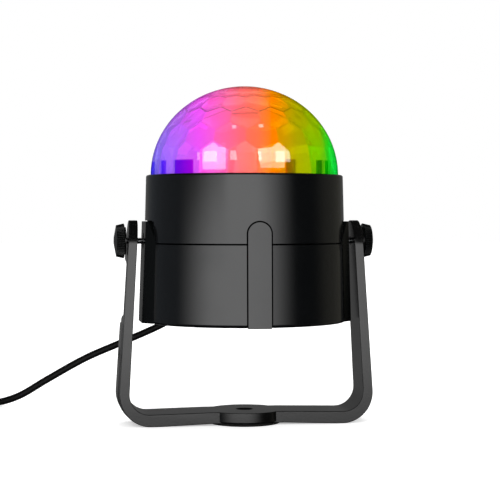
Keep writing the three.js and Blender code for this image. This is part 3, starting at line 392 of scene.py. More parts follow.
def tube(name, path, radius, sides):
    """A closed tube along a path."""
    points, faces = [], []
    for i, point in enumerate(path):
        way = (path[min(i + 1, len(path) - 1)] - path[max(i - 1, 0)]).normalized()
        across = Vector((-way.y, way.x, 0)).normalized()
        up = way.cross(across).normalized()
        for k in range(sides):
            angle = 2 * math.pi * k / sides
            points.append(point + across * radius * math.cos(angle) + up * radius * math.sin(angle))
    for i in range(len(path) - 1):
        for k in range(sides):
            a, b = i * sides + k, i * sides + (k + 1) % sides
            faces.append((a, b, b + sides, a + sides))
    faces.append(tuple(reversed(range(sides))))
    faces.append(tuple(range((len(path) - 1) * sides, len(path) * sides)))
    return make_mesh(name, points, faces)


def worked(mesh, *steps):
    """The mesh that comes out of modifiers. Each step is a modifier's kind and its settings."""
    worker = bpy.data.objects.new("worker", mesh)
    scene.collection.objects.link(worker)
    for kind, settings in steps:
        step = worker.modifiers.new(kind, kind)
        for name, value in settings.items():
            setattr(step, name, value)
    graph = bpy.context.evaluated_depsgraph_get()
    made = bpy.data.meshes.new_from_object(worker.evaluated_get(graph))
    bpy.data.objects.remove(worker)
    return made


def add_piece(name, mesh, body, material, stands_for=(), sharp=32):
    """Adds a piece that rides on a body, shaded smooth up to an angle in degrees."""
    mesh.shade_smooth()
    mesh.set_sharp_from_angle(angle=math.radians(sharp))
    mesh = worked(mesh, ("WEIGHTED_NORMAL", {"keep_sharp": True}))
    mesh.name = name
    mesh.transform(Matrix.Scale(MM, 4))
    mesh.materials.clear()
    mesh.materials.append(material)
    made = bpy.data.objects.new(name, mesh)
    scene.collection.objects.link(made)
    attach(made, body)
    if stands_for:
        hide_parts(*stands_for)
    return made


def surface(name, **settings):
    """Adds a material, and gives it, its tree, its shader and places on the piece."""
    made = bpy.data.materials.new(name)
    made.use_nodes = True
    tree = made.node_tree
    place = node(tree, "TexCoord", **settings).outputs["Object"]
    return made, tree, tree.nodes["Principled BSDF"], place


def finish(tree, shader, broad, fine, dark, pale, roughness, change, grain, depth):
    """Spreads two colours and a change of gloss over broad patches, and a bump along fine ones."""
    shade = node(tree, "Mix", {"Factor": broad, 6: dark, 7: pale}, data_type="RGBA")
    gloss = node(tree, "MapRange", {"Value": broad, "From Min": PATCH_LOW, "From Max": PATCH_HIGH})
    feed(gloss, {"To Min": roughness - change, "To Max": roughness + change})
    bump = node(tree, "Bump", {"Height": fine, "Strength": depth, "Distance": grain * MM})
    feed(shader, {"Base Color": shade.outputs[2], "Roughness": gloss, "Normal": bump})


def toned(colour, tone):
    return [c * tone for c in colour[:3]] + [1]


def plastic(name, colour, roughness, grain, depth, change=0.05, tone=1.3, specular=0.5):
    """A moulded plastic: its grain in millimetres, how deep that reads, its change of gloss."""
    made, tree, shader, place = surface(name)
    scale = 1 / (grain * MM)
    fine = node(tree, "TexNoise", {"Vector": place, "Scale": scale, "Detail": 2.0})
    broad = node(tree, "TexNoise", {"Vector": place, "Scale": 1 / (PATCH * MM), "Detail": 3.0})
    base = linear(colour)
    finish(tree, shader, broad, fine, base, toned(base, tone), roughness, change, grain, depth)
    feed(shader, {"Specular IOR Level": specular})
    return made


def dress(material, *parts):
    """Gives the frame's own pieces their material."""
    for part in parts:
        nodes[part].material_slots[0].material = material


# Soft PVC, extruded over the wires: near black, with a dull waxy shine along its top
jacket = plastic("soft_pvc_extruded", "#050505", 0.5, 0.4, 0.05, specular=0.3)
cord_path = lead_path + coil_path
cord = add_piece(
    "cord_jacket",
    tube("cord_jacket", cord_path, CORD_RADIUS, CORD_SIDES),
    "stand",
    jacket,
    ("cord_lead", "cord_coil"),
    sharp=60,
)
dress(jacket, "plug_grip", "cord_gland")


# Bracket
# One U of nylon, moulded with two leaning arms with round ears, a shallow arched bar and a round
# foot with a screw hole. Each arm is thinned outside, behind a rib along its front.
ARM_TOP = 81.4
ARM_OUTER_FOOT = 51.6
ARM_SPLAY = 5
ARM_FOOT = 4
ARM_HEAD = 3.5
ARM_HALF_FOOT = 9.8
EAR_RADIUS = 8.2
EAR_MIDDLE = 70.9
EAR_RISE = ARM_TOP - EAR_MIDDLE
BAR_TOE = 36
BAR_END_TOP = 4.7
BAR_TOP = 5.4
BAR_ARCH = 0.8
ARCH = 1.3
BEND_OUTER = 12.5
BEND_INNER = 8
BEND_STEPS = 24
FOOT_RADIUS = 15
FOOT_HOLE = 3.1
FOOT_DRAFT = 0.1
FOOT_ROUND_LOW = 0.4
FOOT_ROUND_HIGH = 0.25
HOLE_EDGE = 0.5
RECESS_FRONT = -2.5
RECESS_DEPTH = 1.3
RECESS_RAMP = 3.5
RAMP_STEPS = 8
RECESS_LOW = PIVOT - 31.7
RECESS_HIGH = PIVOT - 7.2
SHOULDER_PROUD = 0.5
SHOULDER_RAMP = 1.5
SHOULDER_SINK = 1
SHOULDER_EDGE = 0.15
BRACKET_EDGE = 0.3
PAD_RECESS = 14.5
STUD_RADIUS = 1.3
STUD_HOLE = STUD_RADIUS + 0.45
PAST = 2


def rounded(corners, steps=12):
    """An outline through corners of x, y and, where it is rounded, a radius."""
    line = []
    for i, (x, y, *radius) in enumerate(corners):
        here = Vector((x, y))
        if not radius:
            line.append(here)
            continue
        back = (Vector(corners[i - 1][:2]) - here).normalized()
        on = (Vector(corners[(i + 1) % len(corners)][:2]) - here).normalized()
        half = back.angle(on) / 2
        middle = here + (back + on).normalized() * radius[0] / math.sin(half)
        spoke = here + back * radius[0] / math.tan(half) - middle
        sweep = (math.pi - 2 * half) * (1 if back.cross(on) < 0 else -1)
        for k in range(steps + 1):
            line.append(middle + Matrix.Rotation(sweep * k / steps, 2) @ spoke)
    return line


def arc(middle, radius, start, end, steps):
    """Points along an arc from one angle to another, in degrees."""
    line = []
    for k in range(steps + 1):
        angle = math.radians(start + (end - start) * k / steps)
        line.append(Vector(middle) + radius * Vector((math.cos(angle), math.sin(angle))))
    return line


def prism(line, low, high, axis):
    """A solid with an outline's section, from one place to another along an axis."""
    order = {"x": (2, 0, 1), "y": (0, 2, 1), "z": (0, 1, 2)}[axis]
    points = []
    for level in (low, high):
        for u, v in line:
            place = (u, v, level)
            points.append([place[i] for i in order])
    count = len(line)
    faces = [tuple(range(count)), tuple(range(count, 2 * count))]
    for k in range(count):
        after = (k + 1) % count
        faces.append((k, after, after + count, k + count))
    return make_mesh("prism", points, faces)


def lathe(profile, steps=192, reach=lambda radius, height, angle: radius):
    """A solid turned round Z from points of radius and height, with ridges if reach gives them."""
    points, faces, rows = [], [], []
    for radius, height in profile:
        start = len(points)
        if radius == 0:
            points.append((0, 0, height))
            rows.append([start] * steps)
            continue
        for k in range(steps):
            angle = 2 * math.pi * k / steps
            out = reach(radius, height, angle)
            points.append((out * math.cos(angle), out * math.sin(angle), height))
        rows.append([start + k for k in range(steps)])
    pairs = list(zip(rows, rows[1:]))
    if profile[0][0] > 0 or profile[-1][0] > 0:
        pairs.append((rows[-1], rows[0]))
    for low, high in pairs:
        for k in range(steps):
            after = (k + 1) % steps
            face = tuple(dict.fromkeys((low[k], low[after], high[after], high[k])))
            if len(face) > 2:
                faces.append(face)
    return make_mesh("turned", points, faces)


def turned(corners, soft=6, steps=192):
    """A solid turned round Z from corners, of which some are rounded."""
    return lathe(rounded(corners, soft), steps)


def rod(radius, low, high, place=(0, 0), steps=48):
    """A round rod along Z."""
    mesh = lathe([(0, low), (radius, low), (radius, high), (0, high)], steps)
    mesh.transform(Matrix.Translation((place[0], place[1], 0)))
    return mesh


def placed(mesh, *moves):
    """A copy of a mesh, moved by matrices, the first of them first."""
    made = mesh.copy()
    for move in moves:
        made.transform(move)
    if sum(1 for move in moves if move.determinant() < 0) % 2:
        made.flip_normals()
    return made


def combined(operation, mesh, others):
    """Joins, cuts or intersects a solid with other solids, one by one."""
    tools, steps = [], []
    for other in others:
        tool = bpy.data.objects.new("tool", other)
        scene.collection.objects.link(tool)
        tools.append(tool)
        steps.append(("BOOLEAN", {"object": tool, "operation": operation, "solver": "MANIFOLD"}))
    made = worked(mesh, *steps)
    for tool in tools:
        bpy.data.objects.remove(tool)
    return made


def softened(mesh, width, segments=3, sharp=35, **settings):
    """Rounds a solid's edges, where they turn by more than an angle in degrees."""
    settings.update(width=width, segments=segments, limit_method="ANGLE")
    settings["angle_limit"] = math.radians(sharp)
    return worked(mesh, ("BEVEL", settings))


def arm_outer(z):
    return ARM_OUTER_FOOT - ARM_SPLAY * z / ARM_TOP


def arm_inner(z):
    return arm_outer(z) - ARM_FOOT + (ARM_FOOT - ARM_HEAD) * z / ARM_TOP


MIRROR_X = Matrix.Scale(-1, 4, (1, 0, 0))
ALONG_X = Matrix.Rotation(math.pi / 2, 4, "Y")
TO_PIVOT = Matrix.Translation((0, 0, PIVOT))
half = [
    (FOOT_RADIUS, BAR_ARCH),
    (BAR_TOE, 0),
    (arm_outer(0), 0, BEND_OUTER),
    (arm_outer(ARM_TOP), ARM_TOP),
    (arm_inner(ARM_TOP), ARM_TOP),
    (arm_inner(BAR_END_TOP), BAR_END_TOP, BEND_INNER),
    (FOOT_RADIUS, BAR_TOP),
]
front = half + [(-x, z, *radius) for x, z, *radius in reversed(half)]
side = [
    (-ARM_HALF_FOOT, -PAST),
    (-ARM_HALF_FOOT, 0),
    *((y, EAR_MIDDLE + z * EAR_RISE / EAR_RADIUS) for y, z in arc((0, 0), EAR_RADIUS, 180, 0, 40)),
    (ARM_HALF_FOOT, 0),
    (ARM_HALF_FOOT, -PAST),
]
wide = ARM_OUTER_FOOT + PAST
u_shape = combined(
    "INTERSECT",
    prism(rounded(front, BEND_STEPS), -ARM_HALF_FOOT - PAST, ARM_HALF_FOOT + PAST, "y"),
    [prism(side, -wide, wide, "x")],
)
u_shape = softened(u_shape, BRACKET_EDGE)
top, corner = arm_outer(RECESS_LOW), arm_outer(0)
shoulder = [
    (top - SHOULDER_SINK, RECESS_LOW),
    (top + SHOULDER_PROUD, RECESS_LOW - SHOULDER_RAMP),
    (corner + SHOULDER_PROUD, 0, BEND_OUTER),
    (BAR_TOE + PAST, 0),
    (BAR_TOE + PAST, SHOULDER_SINK),
    (corner - SHOULDER_SINK, SHOULDER_SINK, BEND_OUTER - SHOULDER_SINK),
]
shoulder = combined(
    "INTERSECT",
    prism(rounded(shoulder, BEND_STEPS), RECESS_FRONT, ARM_HALF_FOOT + PAST, "y"),
    [prism(side, -wide, wide, "x")],
)
shoulder = softened(shoulder, SHOULDER_EDGE)
foot = [
    (0, ARCH),
    (FOOT_RADIUS, ARCH, FOOT_ROUND_LOW),
    (FOOT_RADIUS - FOOT_DRAFT, BAR_TOP, FOOT_ROUND_HIGH),
    (0, BAR_TOP),
]
recess = [(arm_outer(RECESS_LOW) + PAST, RECESS_LOW)]
for k in range(RAMP_STEPS + 1):
    z = RECESS_LOW + RECESS_RAMP * k / RAMP_STEPS
    recess.append((arm_outer(z) - RECESS_DEPTH * smoothstep(k / RAMP_STEPS, 0, 1), z))
recess += [
    (arm_outer(RECESS_HIGH - RECESS_RAMP) - RECESS_DEPTH, RECESS_HIGH - RECESS_RAMP),
    (arm_outer(RECESS_HIGH), RECESS_HIGH),
    (arm_outer(RECESS_HIGH) + PAST, RECESS_HIGH),
]
recess = prism(recess, RECESS_FRONT, ARM_HALF_FOOT + PAST, "y")
screw_hole = [
    (0, -PAST),
    (FOOT_HOLE, -PAST),
    (FOOT_HOLE, BAR_TOP - HOLE_EDGE),
    (FOOT_HOLE + HOLE_EDGE, BAR_TOP),
    (FOOT_HOLE + HOLE_EDGE, BAR_TOP + PAST),
    (0, BAR_TOP + PAST),
]
bracket = combined("UNION", u_shape, [turned(foot), shoulder, placed(shoulder, MIRROR_X)])
bracket = combined(
    "DIFFERENCE",
    bracket,
    [
        recess,
        placed(recess, MIRROR_X),
        lathe(screw_hole, 64),
        rod(PAD_RECESS, -PAST, ARCH, steps=128),
        placed(rod(STUD_HOLE, -wide, wide), ALONG_X, TO_PIVOT),
    ],
)
# Nylon, moulded: dark grey, satin, with the faint grain of a spark-eroded mould
nylon = plastic("nylon_moulded", "#0a0a0a", 0.18, 0.5, 0.02, 0.02)
add_piece("bracket", bracket, "stand", nylon, ("stand_bracket",))


# Foot pad
# A die-cut ring of soft rubber, glued into the underside of the bracket's foot.
PAD_RING_RADIUS = 14.2
PAD_RING_HOLE = 4.2
PAD_RING_THICKNESS = 1
PAD_RING_EDGE = 0.15
ring = [
    (PAD_RING_HOLE, 0, PAD_RING_EDGE),
    (PAD_RING_RADIUS, 0, PAD_RING_EDGE),
    (PAD_RING_RADIUS, PAD_RING_THICKNESS, PAD_RING_EDGE),
    (PAD_RING_HOLE, PAD_RING_THICKNESS, PAD_RING_EDGE),
]
# Rubber sheet, cut: black and matt, with a fine felted grain
rubber = plastic("rubber_sheet_cut", "#0b0b0b", 0.8, 0.3, 0.4)
add_piece("foot_ring", turned(ring, 4, 128), "stand", rubber, ("foot_pad",))


# Clamp knobs
# Moulded nylon knobs with fine ridges, a collar toward the arm and a blunt cone outside. Each is
# moulded on a plain steel stud, which clamps the ear against the head.
KNOB_RADIUS = 7
KNOB_TIP = 6.3
KNOB_COLLAR = 5.5
KNOB_COLLAR_LENGTH = 0.6
KNOB_CONE = 0.9
KNOB_FACE = 1.8
KNOB_REACH = 5.8
KNOB_RIDGES = 54
RIDGE_DEPTH = 0.4
RIDGE_STEPS = 6
GRIP_EDGE = 0.3
GRIP_INSET = 0.1
GRIP_ROUND = 0.12
CONE_START_GAP = 0.2
CONE_ROWS = 14
TIP_EDGE = 0.4
TIP_RISE = 0.02
KNOB_BORE_END = 1.6
HALF_TURN = Matrix.Rotation(math.pi, 4, "Z")

knob_inner = arm_outer(PIVOT - KNOB_COLLAR) + SEAT_GAP
knob_outer = arm_outer(ARM_TOP) + KNOB_REACH
grip_start = knob_inner + KNOB_COLLAR_LENGTH
cone_start = knob_outer - KNOB_CONE
knob_profile = [
    (0, knob_outer - KNOB_BORE_END),
    (STUD_RADIUS + SEAT_GAP, knob_outer - KNOB_BORE_END),
    (STUD_RADIUS + SEAT_GAP, knob_inner),
    (KNOB_COLLAR, knob_inner),
    (KNOB_COLLAR, grip_start),
    (KNOB_RADIUS - RIDGE_DEPTH - GRIP_INSET, grip_start),
    (KNOB_RADIUS - GRIP_ROUND, grip_start + GRIP_EDGE / 2),
    (KNOB_RADIUS, grip_start + GRIP_EDGE),
    (KNOB_TIP, cone_start - CONE_START_GAP),
]
for k in range(CONE_ROWS + 1):
    share = (k / CONE_ROWS) ** 2
    knob_profile.append((KNOB_TIP + (KNOB_FACE - KNOB_TIP) * share, cone_start + KNOB_CONE * share))
knob_profile.append((KNOB_FACE - TIP_EDGE, knob_outer + TIP_RISE))
knob_profile.append((0, knob_outer + TIP_RISE))


def ridged(radius, height, angle):
    """How far a knob reaches, between its ridges' crests and valleys."""
    share = (height - grip_start) / (cone_start - grip_start)
    valley = RIDGE_DEPTH * (1 - abs(math.cos(KNOB_RIDGES * angle / 2)))
    return min(radius, KNOB_RADIUS + (KNOB_TIP - KNOB_RADIUS) * share - valley)


knob = lathe(knob_profile, KNOB_RIDGES * RIDGE_STEPS, ridged)
knob = placed(knob, ALONG_X, TO_PIVOT)


def add_pair(name, mesh, body, material, stands_for, sharp=32, sides=("left", "right")):
    """Adds a piece as it is, and turned half round on the other side, with each side's names."""
    for side, turn in zip(sides, (HALF_TURN, Matrix.Identity(4))):
        replaced = (stands_for.format(side),)
        made = placed(mesh, turn)
        add_piece(f"{side}_{name}", made, body.format(side), material, replaced, sharp)


# Nylon, moulded in a ridged tool: near black and duller than the arms
knob_nylon = plastic("nylon_ridged", "#080909", 0.3, 0.35, 0.04, 0.03, specular=0.3)
add_pair("grip", knob, "{}_clamp", knob_nylon, "{}_knob", sharp=38)


# Studs
# Steel rods that run from inside each knob through the ear into the head's brass thread. The
# thread is rolled along their whole length and shows in the gap between ear and head.
STUD_INNER = 31.5
THREAD_PITCH = 0.5
THREAD_DEPTH = 0.28
THREAD_STEPS = 8
THREAD_START = 0.25
STUD_SIDES = 32
STUD_CHAMFER = 0.35
MARK_TONE = 0.85
MARK_GLOSS = 0.06
stud_outer = knob_outer - KNOB_BORE_END - SEAT_GAP
stud_rows = round((stud_outer - STUD_INNER) / THREAD_PITCH * THREAD_STEPS)


def threaded(radius, height, angle):
    """How far a stud reaches between its thread's crests and roots, with chamfered ends."""
    phase = (height / THREAD_PITCH - angle / (2 * math.pi) + THREAD_START) % 1
    cut = THREAD_DEPTH * min(max(2 * abs(2 * phase - 1) - 0.5, 0), 1)
    end = min(height - STUD_INNER, stud_outer - height)
    return radius - max(cut, STUD_CHAMFER - end)


stud_profile = [(0, STUD_INNER)]
for i in range(stud_rows + 1):
    stud_profile.append((STUD_RADIUS, STUD_INNER + (stud_outer - STUD_INNER) * i / stud_rows))
stud_profile.append((0, stud_outer))
stud = placed(lathe(stud_profile, STUD_SIDES, threaded), ALONG_X, TO_PIVOT)


def metal(name, colour, roughness, grain, depth):
    """A metal: the grain of its marks in millimetres, and how deep they read."""
    made, tree, shader, place = surface(name)
    feed(shader, {"Metallic": 1.0})
    scale = 1 / (grain * MM)
    grains = node(tree, "TexNoise", {"Vector": place, "Scale": scale, "Detail": 4.0})
    base = linear(colour)
    dark = toned(base, MARK_TONE)
    finish(tree, shader, grains, grains, dark, base, roughness, MARK_GLOSS, grain, depth)
    return made


# Steel, rolled and zinc plated: mid grey, with a cool shine along the crests
zinc_steel = metal("steel_zinc_plated", "#a9abad", 0.32, 0.6, 0.1)
add_pair("stud", stud, "{}_clamp", zinc_steel, "{}_knob_stud", sharp=40)


# Plug
# The plug on the lead's far end: a shell folded from steel strip, with a moulded tongue inside it.

# Steel, rolled and nickel plated: pale and even, with a soft shine
nickel_steel = metal("steel_nickel_plated", "#c6c5bf", 0.26, 0.8, 0.05)
dress(nickel_steel, "plug_shell")
# PBT, moulded: off-white and dense, with a dull shine
white_pbt = plastic("pbt_moulded", "#d4d3cc", 0.42, 0.4, 0.04, tone=1.05)
dress(white_pbt, "plug_tongue")


# Pivot pads
# Flat blocks of ABS on the two sides of the head, which lean in a little towards the top. A boss
# behind each one holds a brass thread for the stud, and the bracket's ear rubs on its face.
BODY_BOTTOM = 40.8
PAD_LOW = 41
PAD_TOP = 81
PAD_SHOULDER = 72
PAD_HALF = 15
PAD_FACE_INSET = 6.5
PAD_WALL = 36.6
PAD_TOP_HALF = 11.4
PAD_CORNER = 2
PAD_SHOULDER_ROUND = 1.5
PAD_TOP_ROUND = 0.8
PAD_INNER = 36.4
PAD_LOW_REACH = 42
PAD_HIGH_REACH = 40.5
PAD_BOSS = 5.2
PAD_BOSS_INNER = 29.4
INSERT_RADIUS = 3
PAD_EDGE = 0.2


def pad_line(spread, low):
    """A pad's outline, seen from the side."""
    return rounded(
        [
            (-PAD_HALF - spread, low, PAD_CORNER),
            (PAD_HALF + spread, low, PAD_CORNER),
            (PAD_HALF + spread, PAD_SHOULDER, PAD_SHOULDER_ROUND),
            (PAD_TOP_HALF + spread, PAD_TOP + spread, PAD_TOP_ROUND),
            (-PAD_TOP_HALF - spread, PAD_TOP + spread, PAD_TOP_ROUND),
            (-PAD_HALF - spread, PAD_SHOULDER, PAD_SHOULDER_ROUND),
        ],
        8,
    )


lean = (PAD_LOW_REACH - PAD_HIGH_REACH) / (PAD_TOP - BODY_BOTTOM)
wedge = [
    (PAD_INNER, BODY_BOTTOM - PAST),
    (PAD_LOW_REACH + lean * PAST, BODY_BOTTOM - PAST),
    (PAD_HIGH_REACH - lean * PAST, PAD_TOP + PAST),
    (PAD_INNER, PAD_TOP + PAST),
]
slant = PAD_FACE_INSET / (PAD_LOW_REACH - PAD_WALL)
tip = PAD_HALF - PAD_FACE_INSET - slant * PAST
plan = [
    (PAD_INNER - PAST, -PAD_HALF - PAST),
    (PAD_WALL - PAST / slant, -PAD_HALF - PAST),
    (PAD_LOW_REACH + PAST, -tip),
    (PAD_LOW_REACH + PAST, tip),
    (PAD_WALL - PAST / slant, PAD_HALF + PAST),
    (PAD_INNER - PAST, PAD_HALF + PAST),
]
pad = combined(
    "INTERSECT",
    prism(pad_line(0, PAD_LOW), PAD_INNER - PAST / 2, PAD_LOW_REACH + PAST, "x"),
    [
        prism(wedge, -PAD_HALF - PAST, PAD_HALF + PAST, "y"),
        prism(plan, PAD_LOW - PAST, PAD_TOP + PAST, "z"),
    ],
)
pad = softened(pad, PAD_EDGE)
pad = combined(
    "UNION", pad, [placed(rod(PAD_BOSS, PAD_BOSS_INNER, PAD_INNER + SEAT_GAP), ALONG_X, TO_PIVOT)]
)
insert_hole = rod(INSERT_RADIUS + SEAT_GAP, PAD_BOSS_INNER - PAST, PAD_LOW_REACH + PAST)
pad = combined("DIFFERENCE", pad, [placed(insert_hole, ALONG_X, TO_PIVOT)])
# ABS, moulded in a blasted mould: black, with hardly a shine
abs_black = plastic("abs_blasted_moulded", "#040505", 0.26, 0.5, 0.03, 0.03, specular=0.2)
add_pair("pad", pad, "head", abs_black, "{}_pivot_pad")
# Brass, turned on a lathe: warm yellow, with fine bright marks from the tool
turned_brass = metal("brass_turned", "#c4a05a", 0.28, 0.4, 0.12)
dress(turned_brass, "left_thread_insert", "right_thread_insert")


# Lower shell
# A moulded ABS cup with a flat bottom. It has a lip inside the seam, posts for the case screws,
# stands for the board, pockets for the pads and straps, and holes for the button and microphone.
BODY_RADIUS = 40.95
RIM = 99.4
RIM_RADIUS = 39.45
WALL = 2
SEAM = 72.3
BODY_EDGE = 1.2
POCKET_REACH = 46
SEAM_HALF = 0.24
SEAM_EDGE = 0.1
LIP_RISE = 2.5
LIP_WALL = 1
LIP_SLANT = 0.6
LIP_FOOT = 68
FLOOR_TOP = BODY_BOTTOM + WALL
POST_RADIUS = 3.2
POST_CIRCLE = 32.8
POST_SINK = 1
SCREW_HOLE = 1.4
SCREW_HEAD_HOLE = 2.2
SCREW_SEAT = SEAM - 8.5
BOARD_BOTTOM = 52
BOARD_STAND = 2.4
BOARD_HOLE_DEPTH = 5
BOARD_STAND_PLACES = [(-19, 2), (19, 2)]
BUTTON_PLACE = (0, -6)
BUTTON_HOLE = 4.3
MIC_PLACE = (13, -9.5)
MIC_PORT = 0.75
MIC_PORT_CIRCLE = 1.8
GLAND_HOLE = 3.3
GLAND_HOLE_RUN = (35, 46)
STRAP_HALF = 4.5
STRAP_TOP = 80.8
STRAP_DEPTH = 1.3
STRAP_GROOVE = 0.5
STRAP_COLUMNS = 20


def shell_radius(z):
    return BODY_RADIUS + (RIM_RADIUS - BODY_RADIUS) * (z - BODY_BOTTOM) / (RIM - BODY_BOTTOM)


def tongue(spread, low, front, back, edge=0, bend=1):
    """A tongue with a round top, between two depths in the head's wall, bent to it or flatter."""
    width = STRAP_HALF + spread
    line = [(-width, low), (width, low)]
    line += arc((0, STRAP_TOP - STRAP_HALF), width, 0, 180, 36)
    flat = prism(line, front, back, "y")
    if edge:
        flat = softened(flat, edge)
    solid = bmesh.new()
    solid.from_mesh(flat)
    for k in range(1, STRAP_COLUMNS):
        cut = width * (2 * k / STRAP_COLUMNS - 1)
        bmesh.ops.bisect_plane(
            solid,
            geom=[*solid.verts, *solid.edges, *solid.faces],
            plane_co=(cut, 0, 0),
            plane_no=(1, 0, 0),
        )
    for vertex in solid.verts:
        x, depth, z = vertex.co
        reach = shell_radius(z) - depth
        vertex.co.y = bend * (reach - math.sqrt(reach**2 - x * x)) - reach
    bmesh.ops.recalc_face_normals(solid, faces=solid.faces)
    solid.to_mesh(flat)
    solid.free()
    return flat


def mark_faces(mesh, index):
    """Gives a solid's faces a number, which the faces that it cuts keep: 1 for the painted shade."""
    while len(mesh.materials) < 2:
        mesh.materials.append(None)
    for face in mesh.polygons:
        face.material_index = index


def marks(mesh):
    return [face.material_index for face in mesh.polygons]


def second_finish(piece, marked, material):
    """Gives the marked faces of a piece a second material: the painted shade of grooves and ridges.
    """
    piece.data.materials.append(material)
    piece.data.polygons.foreach_set("material_index", marked)


def round_place(radius, degrees):
    angle = math.radians(degrees)
    return (radius * math.cos(angle), radius * math.sin(angle))


post_places = [round_place(POST_CIRCLE, 45 + 90 * k) for k in range(4)]
groove = tongue(STRAP_GROOVE, BODY_BOTTOM - PAST, -PAST, STRAP_DEPTH + SEAT_GAP)
# The groove's faces take number 1, the painted shade
mark_faces(groove, 1)
pocket_line = pad_line(SEAT_GAP, BODY_BOTTOM - 2 * PAST)
pocket = prism(pocket_line, PAD_INNER - SEAT_GAP, POCKET_REACH, "x")
pockets = [groove, placed(groove, HALF_TURN), pocket, placed(pocket, HALF_TURN)]

# ABS, moulded in a satin mould: near black, with a soft even shine
abs_satin = plastic("abs_satin_moulded", "#08090a", 0.16, 0.6, 0.02, 0.02)
cup_top = SEAM - SEAM_HALF
lip_outer = shell_radius(SEAM) - WALL - SEAT_GAP
cup = turned(
    [
        (0, BODY_BOTTOM),
        (BODY_RADIUS, BODY_BOTTOM, BODY_EDGE),
        (shell_radius(cup_top), cup_top, SEAM_EDGE),
        (lip_outer - LIP_SLANT, cup_top),
        (lip_outer, SEAM + LIP_SLANT + SEAM_HALF),
        (lip_outer, SEAM + LIP_RISE),
        (lip_outer - LIP_WALL, SEAM + LIP_RISE),
        (lip_outer - LIP_WALL, cup_top - LIP_RISE),
        (shell_radius(LIP_FOOT) - WALL, cup_top - LIP_RISE - LIP_WALL),
        (shell_radius(FLOOR_TOP) - WALL, FLOOR_TOP),
        (0, FLOOR_TOP),
    ]
)
posts = [rod(POST_RADIUS, FLOOR_TOP - POST_SINK, cup_top, p) for p in post_places]
stands = [
    rod(BOARD_STAND, FLOOR_TOP - POST_SINK, BOARD_BOTTOM - SEAT_GAP, p) for p in BOARD_STAND_PLACES
]
holes = [rod(SCREW_HEAD_HOLE, BODY_BOTTOM - PAST, SCREW_SEAT, p) for p in post_places]
holes += [rod(SCREW_HOLE, SCREW_SEAT - PAST, cup_top + PAST, p, 24) for p in post_places]
for place in BOARD_STAND_PLACES:
    low, high = BOARD_BOTTOM - BOARD_HOLE_DEPTH, BOARD_BOTTOM + PAST
    holes.append(rod(SCREW_HOLE, low, high, place, 24))
holes.append(rod(BUTTON_HOLE, BODY_BOTTOM - PAST, FLOOR_TOP + PAST, BUTTON_PLACE))
for k in range(3):
    x, y = round_place(MIC_PORT_CIRCLE, 90 + 120 * k)
    place = (MIC_PLACE[0] + x, MIC_PLACE[1] + y)
    holes.append(rod(MIC_PORT, BODY_BOTTOM - PAST, FLOOR_TOP + PAST, place, 24))
gland_hole = placed(
    rod(GLAND_HOLE, *GLAND_HOLE_RUN),
    Matrix.Rotation(-math.pi / 2 - GLAND_LEAN, 4, "X"),
    Matrix.Translation((GLAND_ACROSS, 0, PIVOT)),
)
mark_faces(cup, 0)
cup = combined("UNION", cup, posts + stands)
cup = combined("DIFFERENCE", cup, [*pockets, *holes, gland_hole])
# The same ABS inside the grooves, darker, dull and with little shine: painted shade, so that each
# groove reads as a thin black line
abs_groove_shade = plastic("abs_groove_painted_shade", "#040404", 0.8, 0.4, 0.1, specular=0.1)
cup_marks = marks(cup)
cup = add_piece("lower_case", cup, "head", abs_satin, ("lower_shell",))
second_finish(cup, cup_marks, abs_groove_shade)


# Upper shell
# The other half of the head, from the seam to the rim round the dome. A ledge inside keeps the
# dome down, and four posts with webs take the deck's screws.
RIM_ROUND = 0.8
DOME_OPENING = 37.95
OPENING_EDGE = 0.3
LEDGE_TOP = 94.7
LEDGE_BOTTOM = 93.2
LEDGE_RADIUS = 35.7
POST_TOP = 83.5
WEB_HALF = 1.2
WEB_GAP = 0.5
case_bottom = SEAM + SEAM_HALF
case = turned(
    [
        (shell_radius(case_bottom) - WALL, case_bottom),
        (shell_radius(case_bottom), case_bottom, SEAM_EDGE),
        (RIM_RADIUS, RIM, RIM_ROUND),
        (DOME_OPENING, RIM, OPENING_EDGE),
        (DOME_OPENING, LEDGE_TOP),
        (LEDGE_RADIUS, LEDGE_TOP),
        (LEDGE_RADIUS, LEDGE_BOTTOM),
        (shell_radius(LEDGE_BOTTOM) - WALL, LEDGE_BOTTOM),
    ]
)
posts = [rod(POST_RADIUS, case_bottom, POST_TOP, p) for p in post_places]
web_end = shell_radius(POST_TOP) - WALL / 2
web_line = [
    (POST_CIRCLE, -WEB_HALF),
    (web_end, -WEB_HALF),
    (web_end, WEB_HALF),
    (POST_CIRCLE, WEB_HALF),
]
web = prism(web_line, SEAM + LIP_RISE + WEB_GAP, POST_TOP, "z")
webs = [placed(web, Matrix.Rotation(math.radians(45 + 90 * k), 4, "Z")) for k in range(4)]
holes = [rod(SCREW_HOLE, case_bottom - PAST, POST_TOP + PAST, p, 24) for p in post_places]
mark_faces(case, 0)
case = combined("UNION", case, posts + webs)
case = combined("DIFFERENCE", case, pockets + holes)
case_marks = marks(case)
case = add_piece("upper_case", case, "head", abs_satin, ("upper_shell",))
second_finish(case, case_marks, abs_groove_shade)


# Straps
# Moulded ABS tongues down the front and the back, pressed into grooves across the seam, so that a
# thin dark line is left round each, deepened by painted shade on the grooves' faces.
STRAP_LOW = 40.55
STRAP_PROUD = 0.12
STRAP_EDGE = 0.1
STRAP_BEND = 0.2
strap = tongue(0, STRAP_LOW, -STRAP_PROUD, STRAP_DEPTH, STRAP_EDGE, STRAP_BEND)
add_pair("tongue", strap, "head", abs_satin, "{}_strap", sides=("rear", "front"))


# Button
# A short moulded cap in the bottom of the head. It presses on the switch under the board.

# ABS, moulded in a polished tool: white, with a clean shine
white_abs = plastic("abs_white_moulded", "#d8d8d4", 0.25, 0.5, 0.03, tone=1.04)
dress(white_abs, "mode_button")


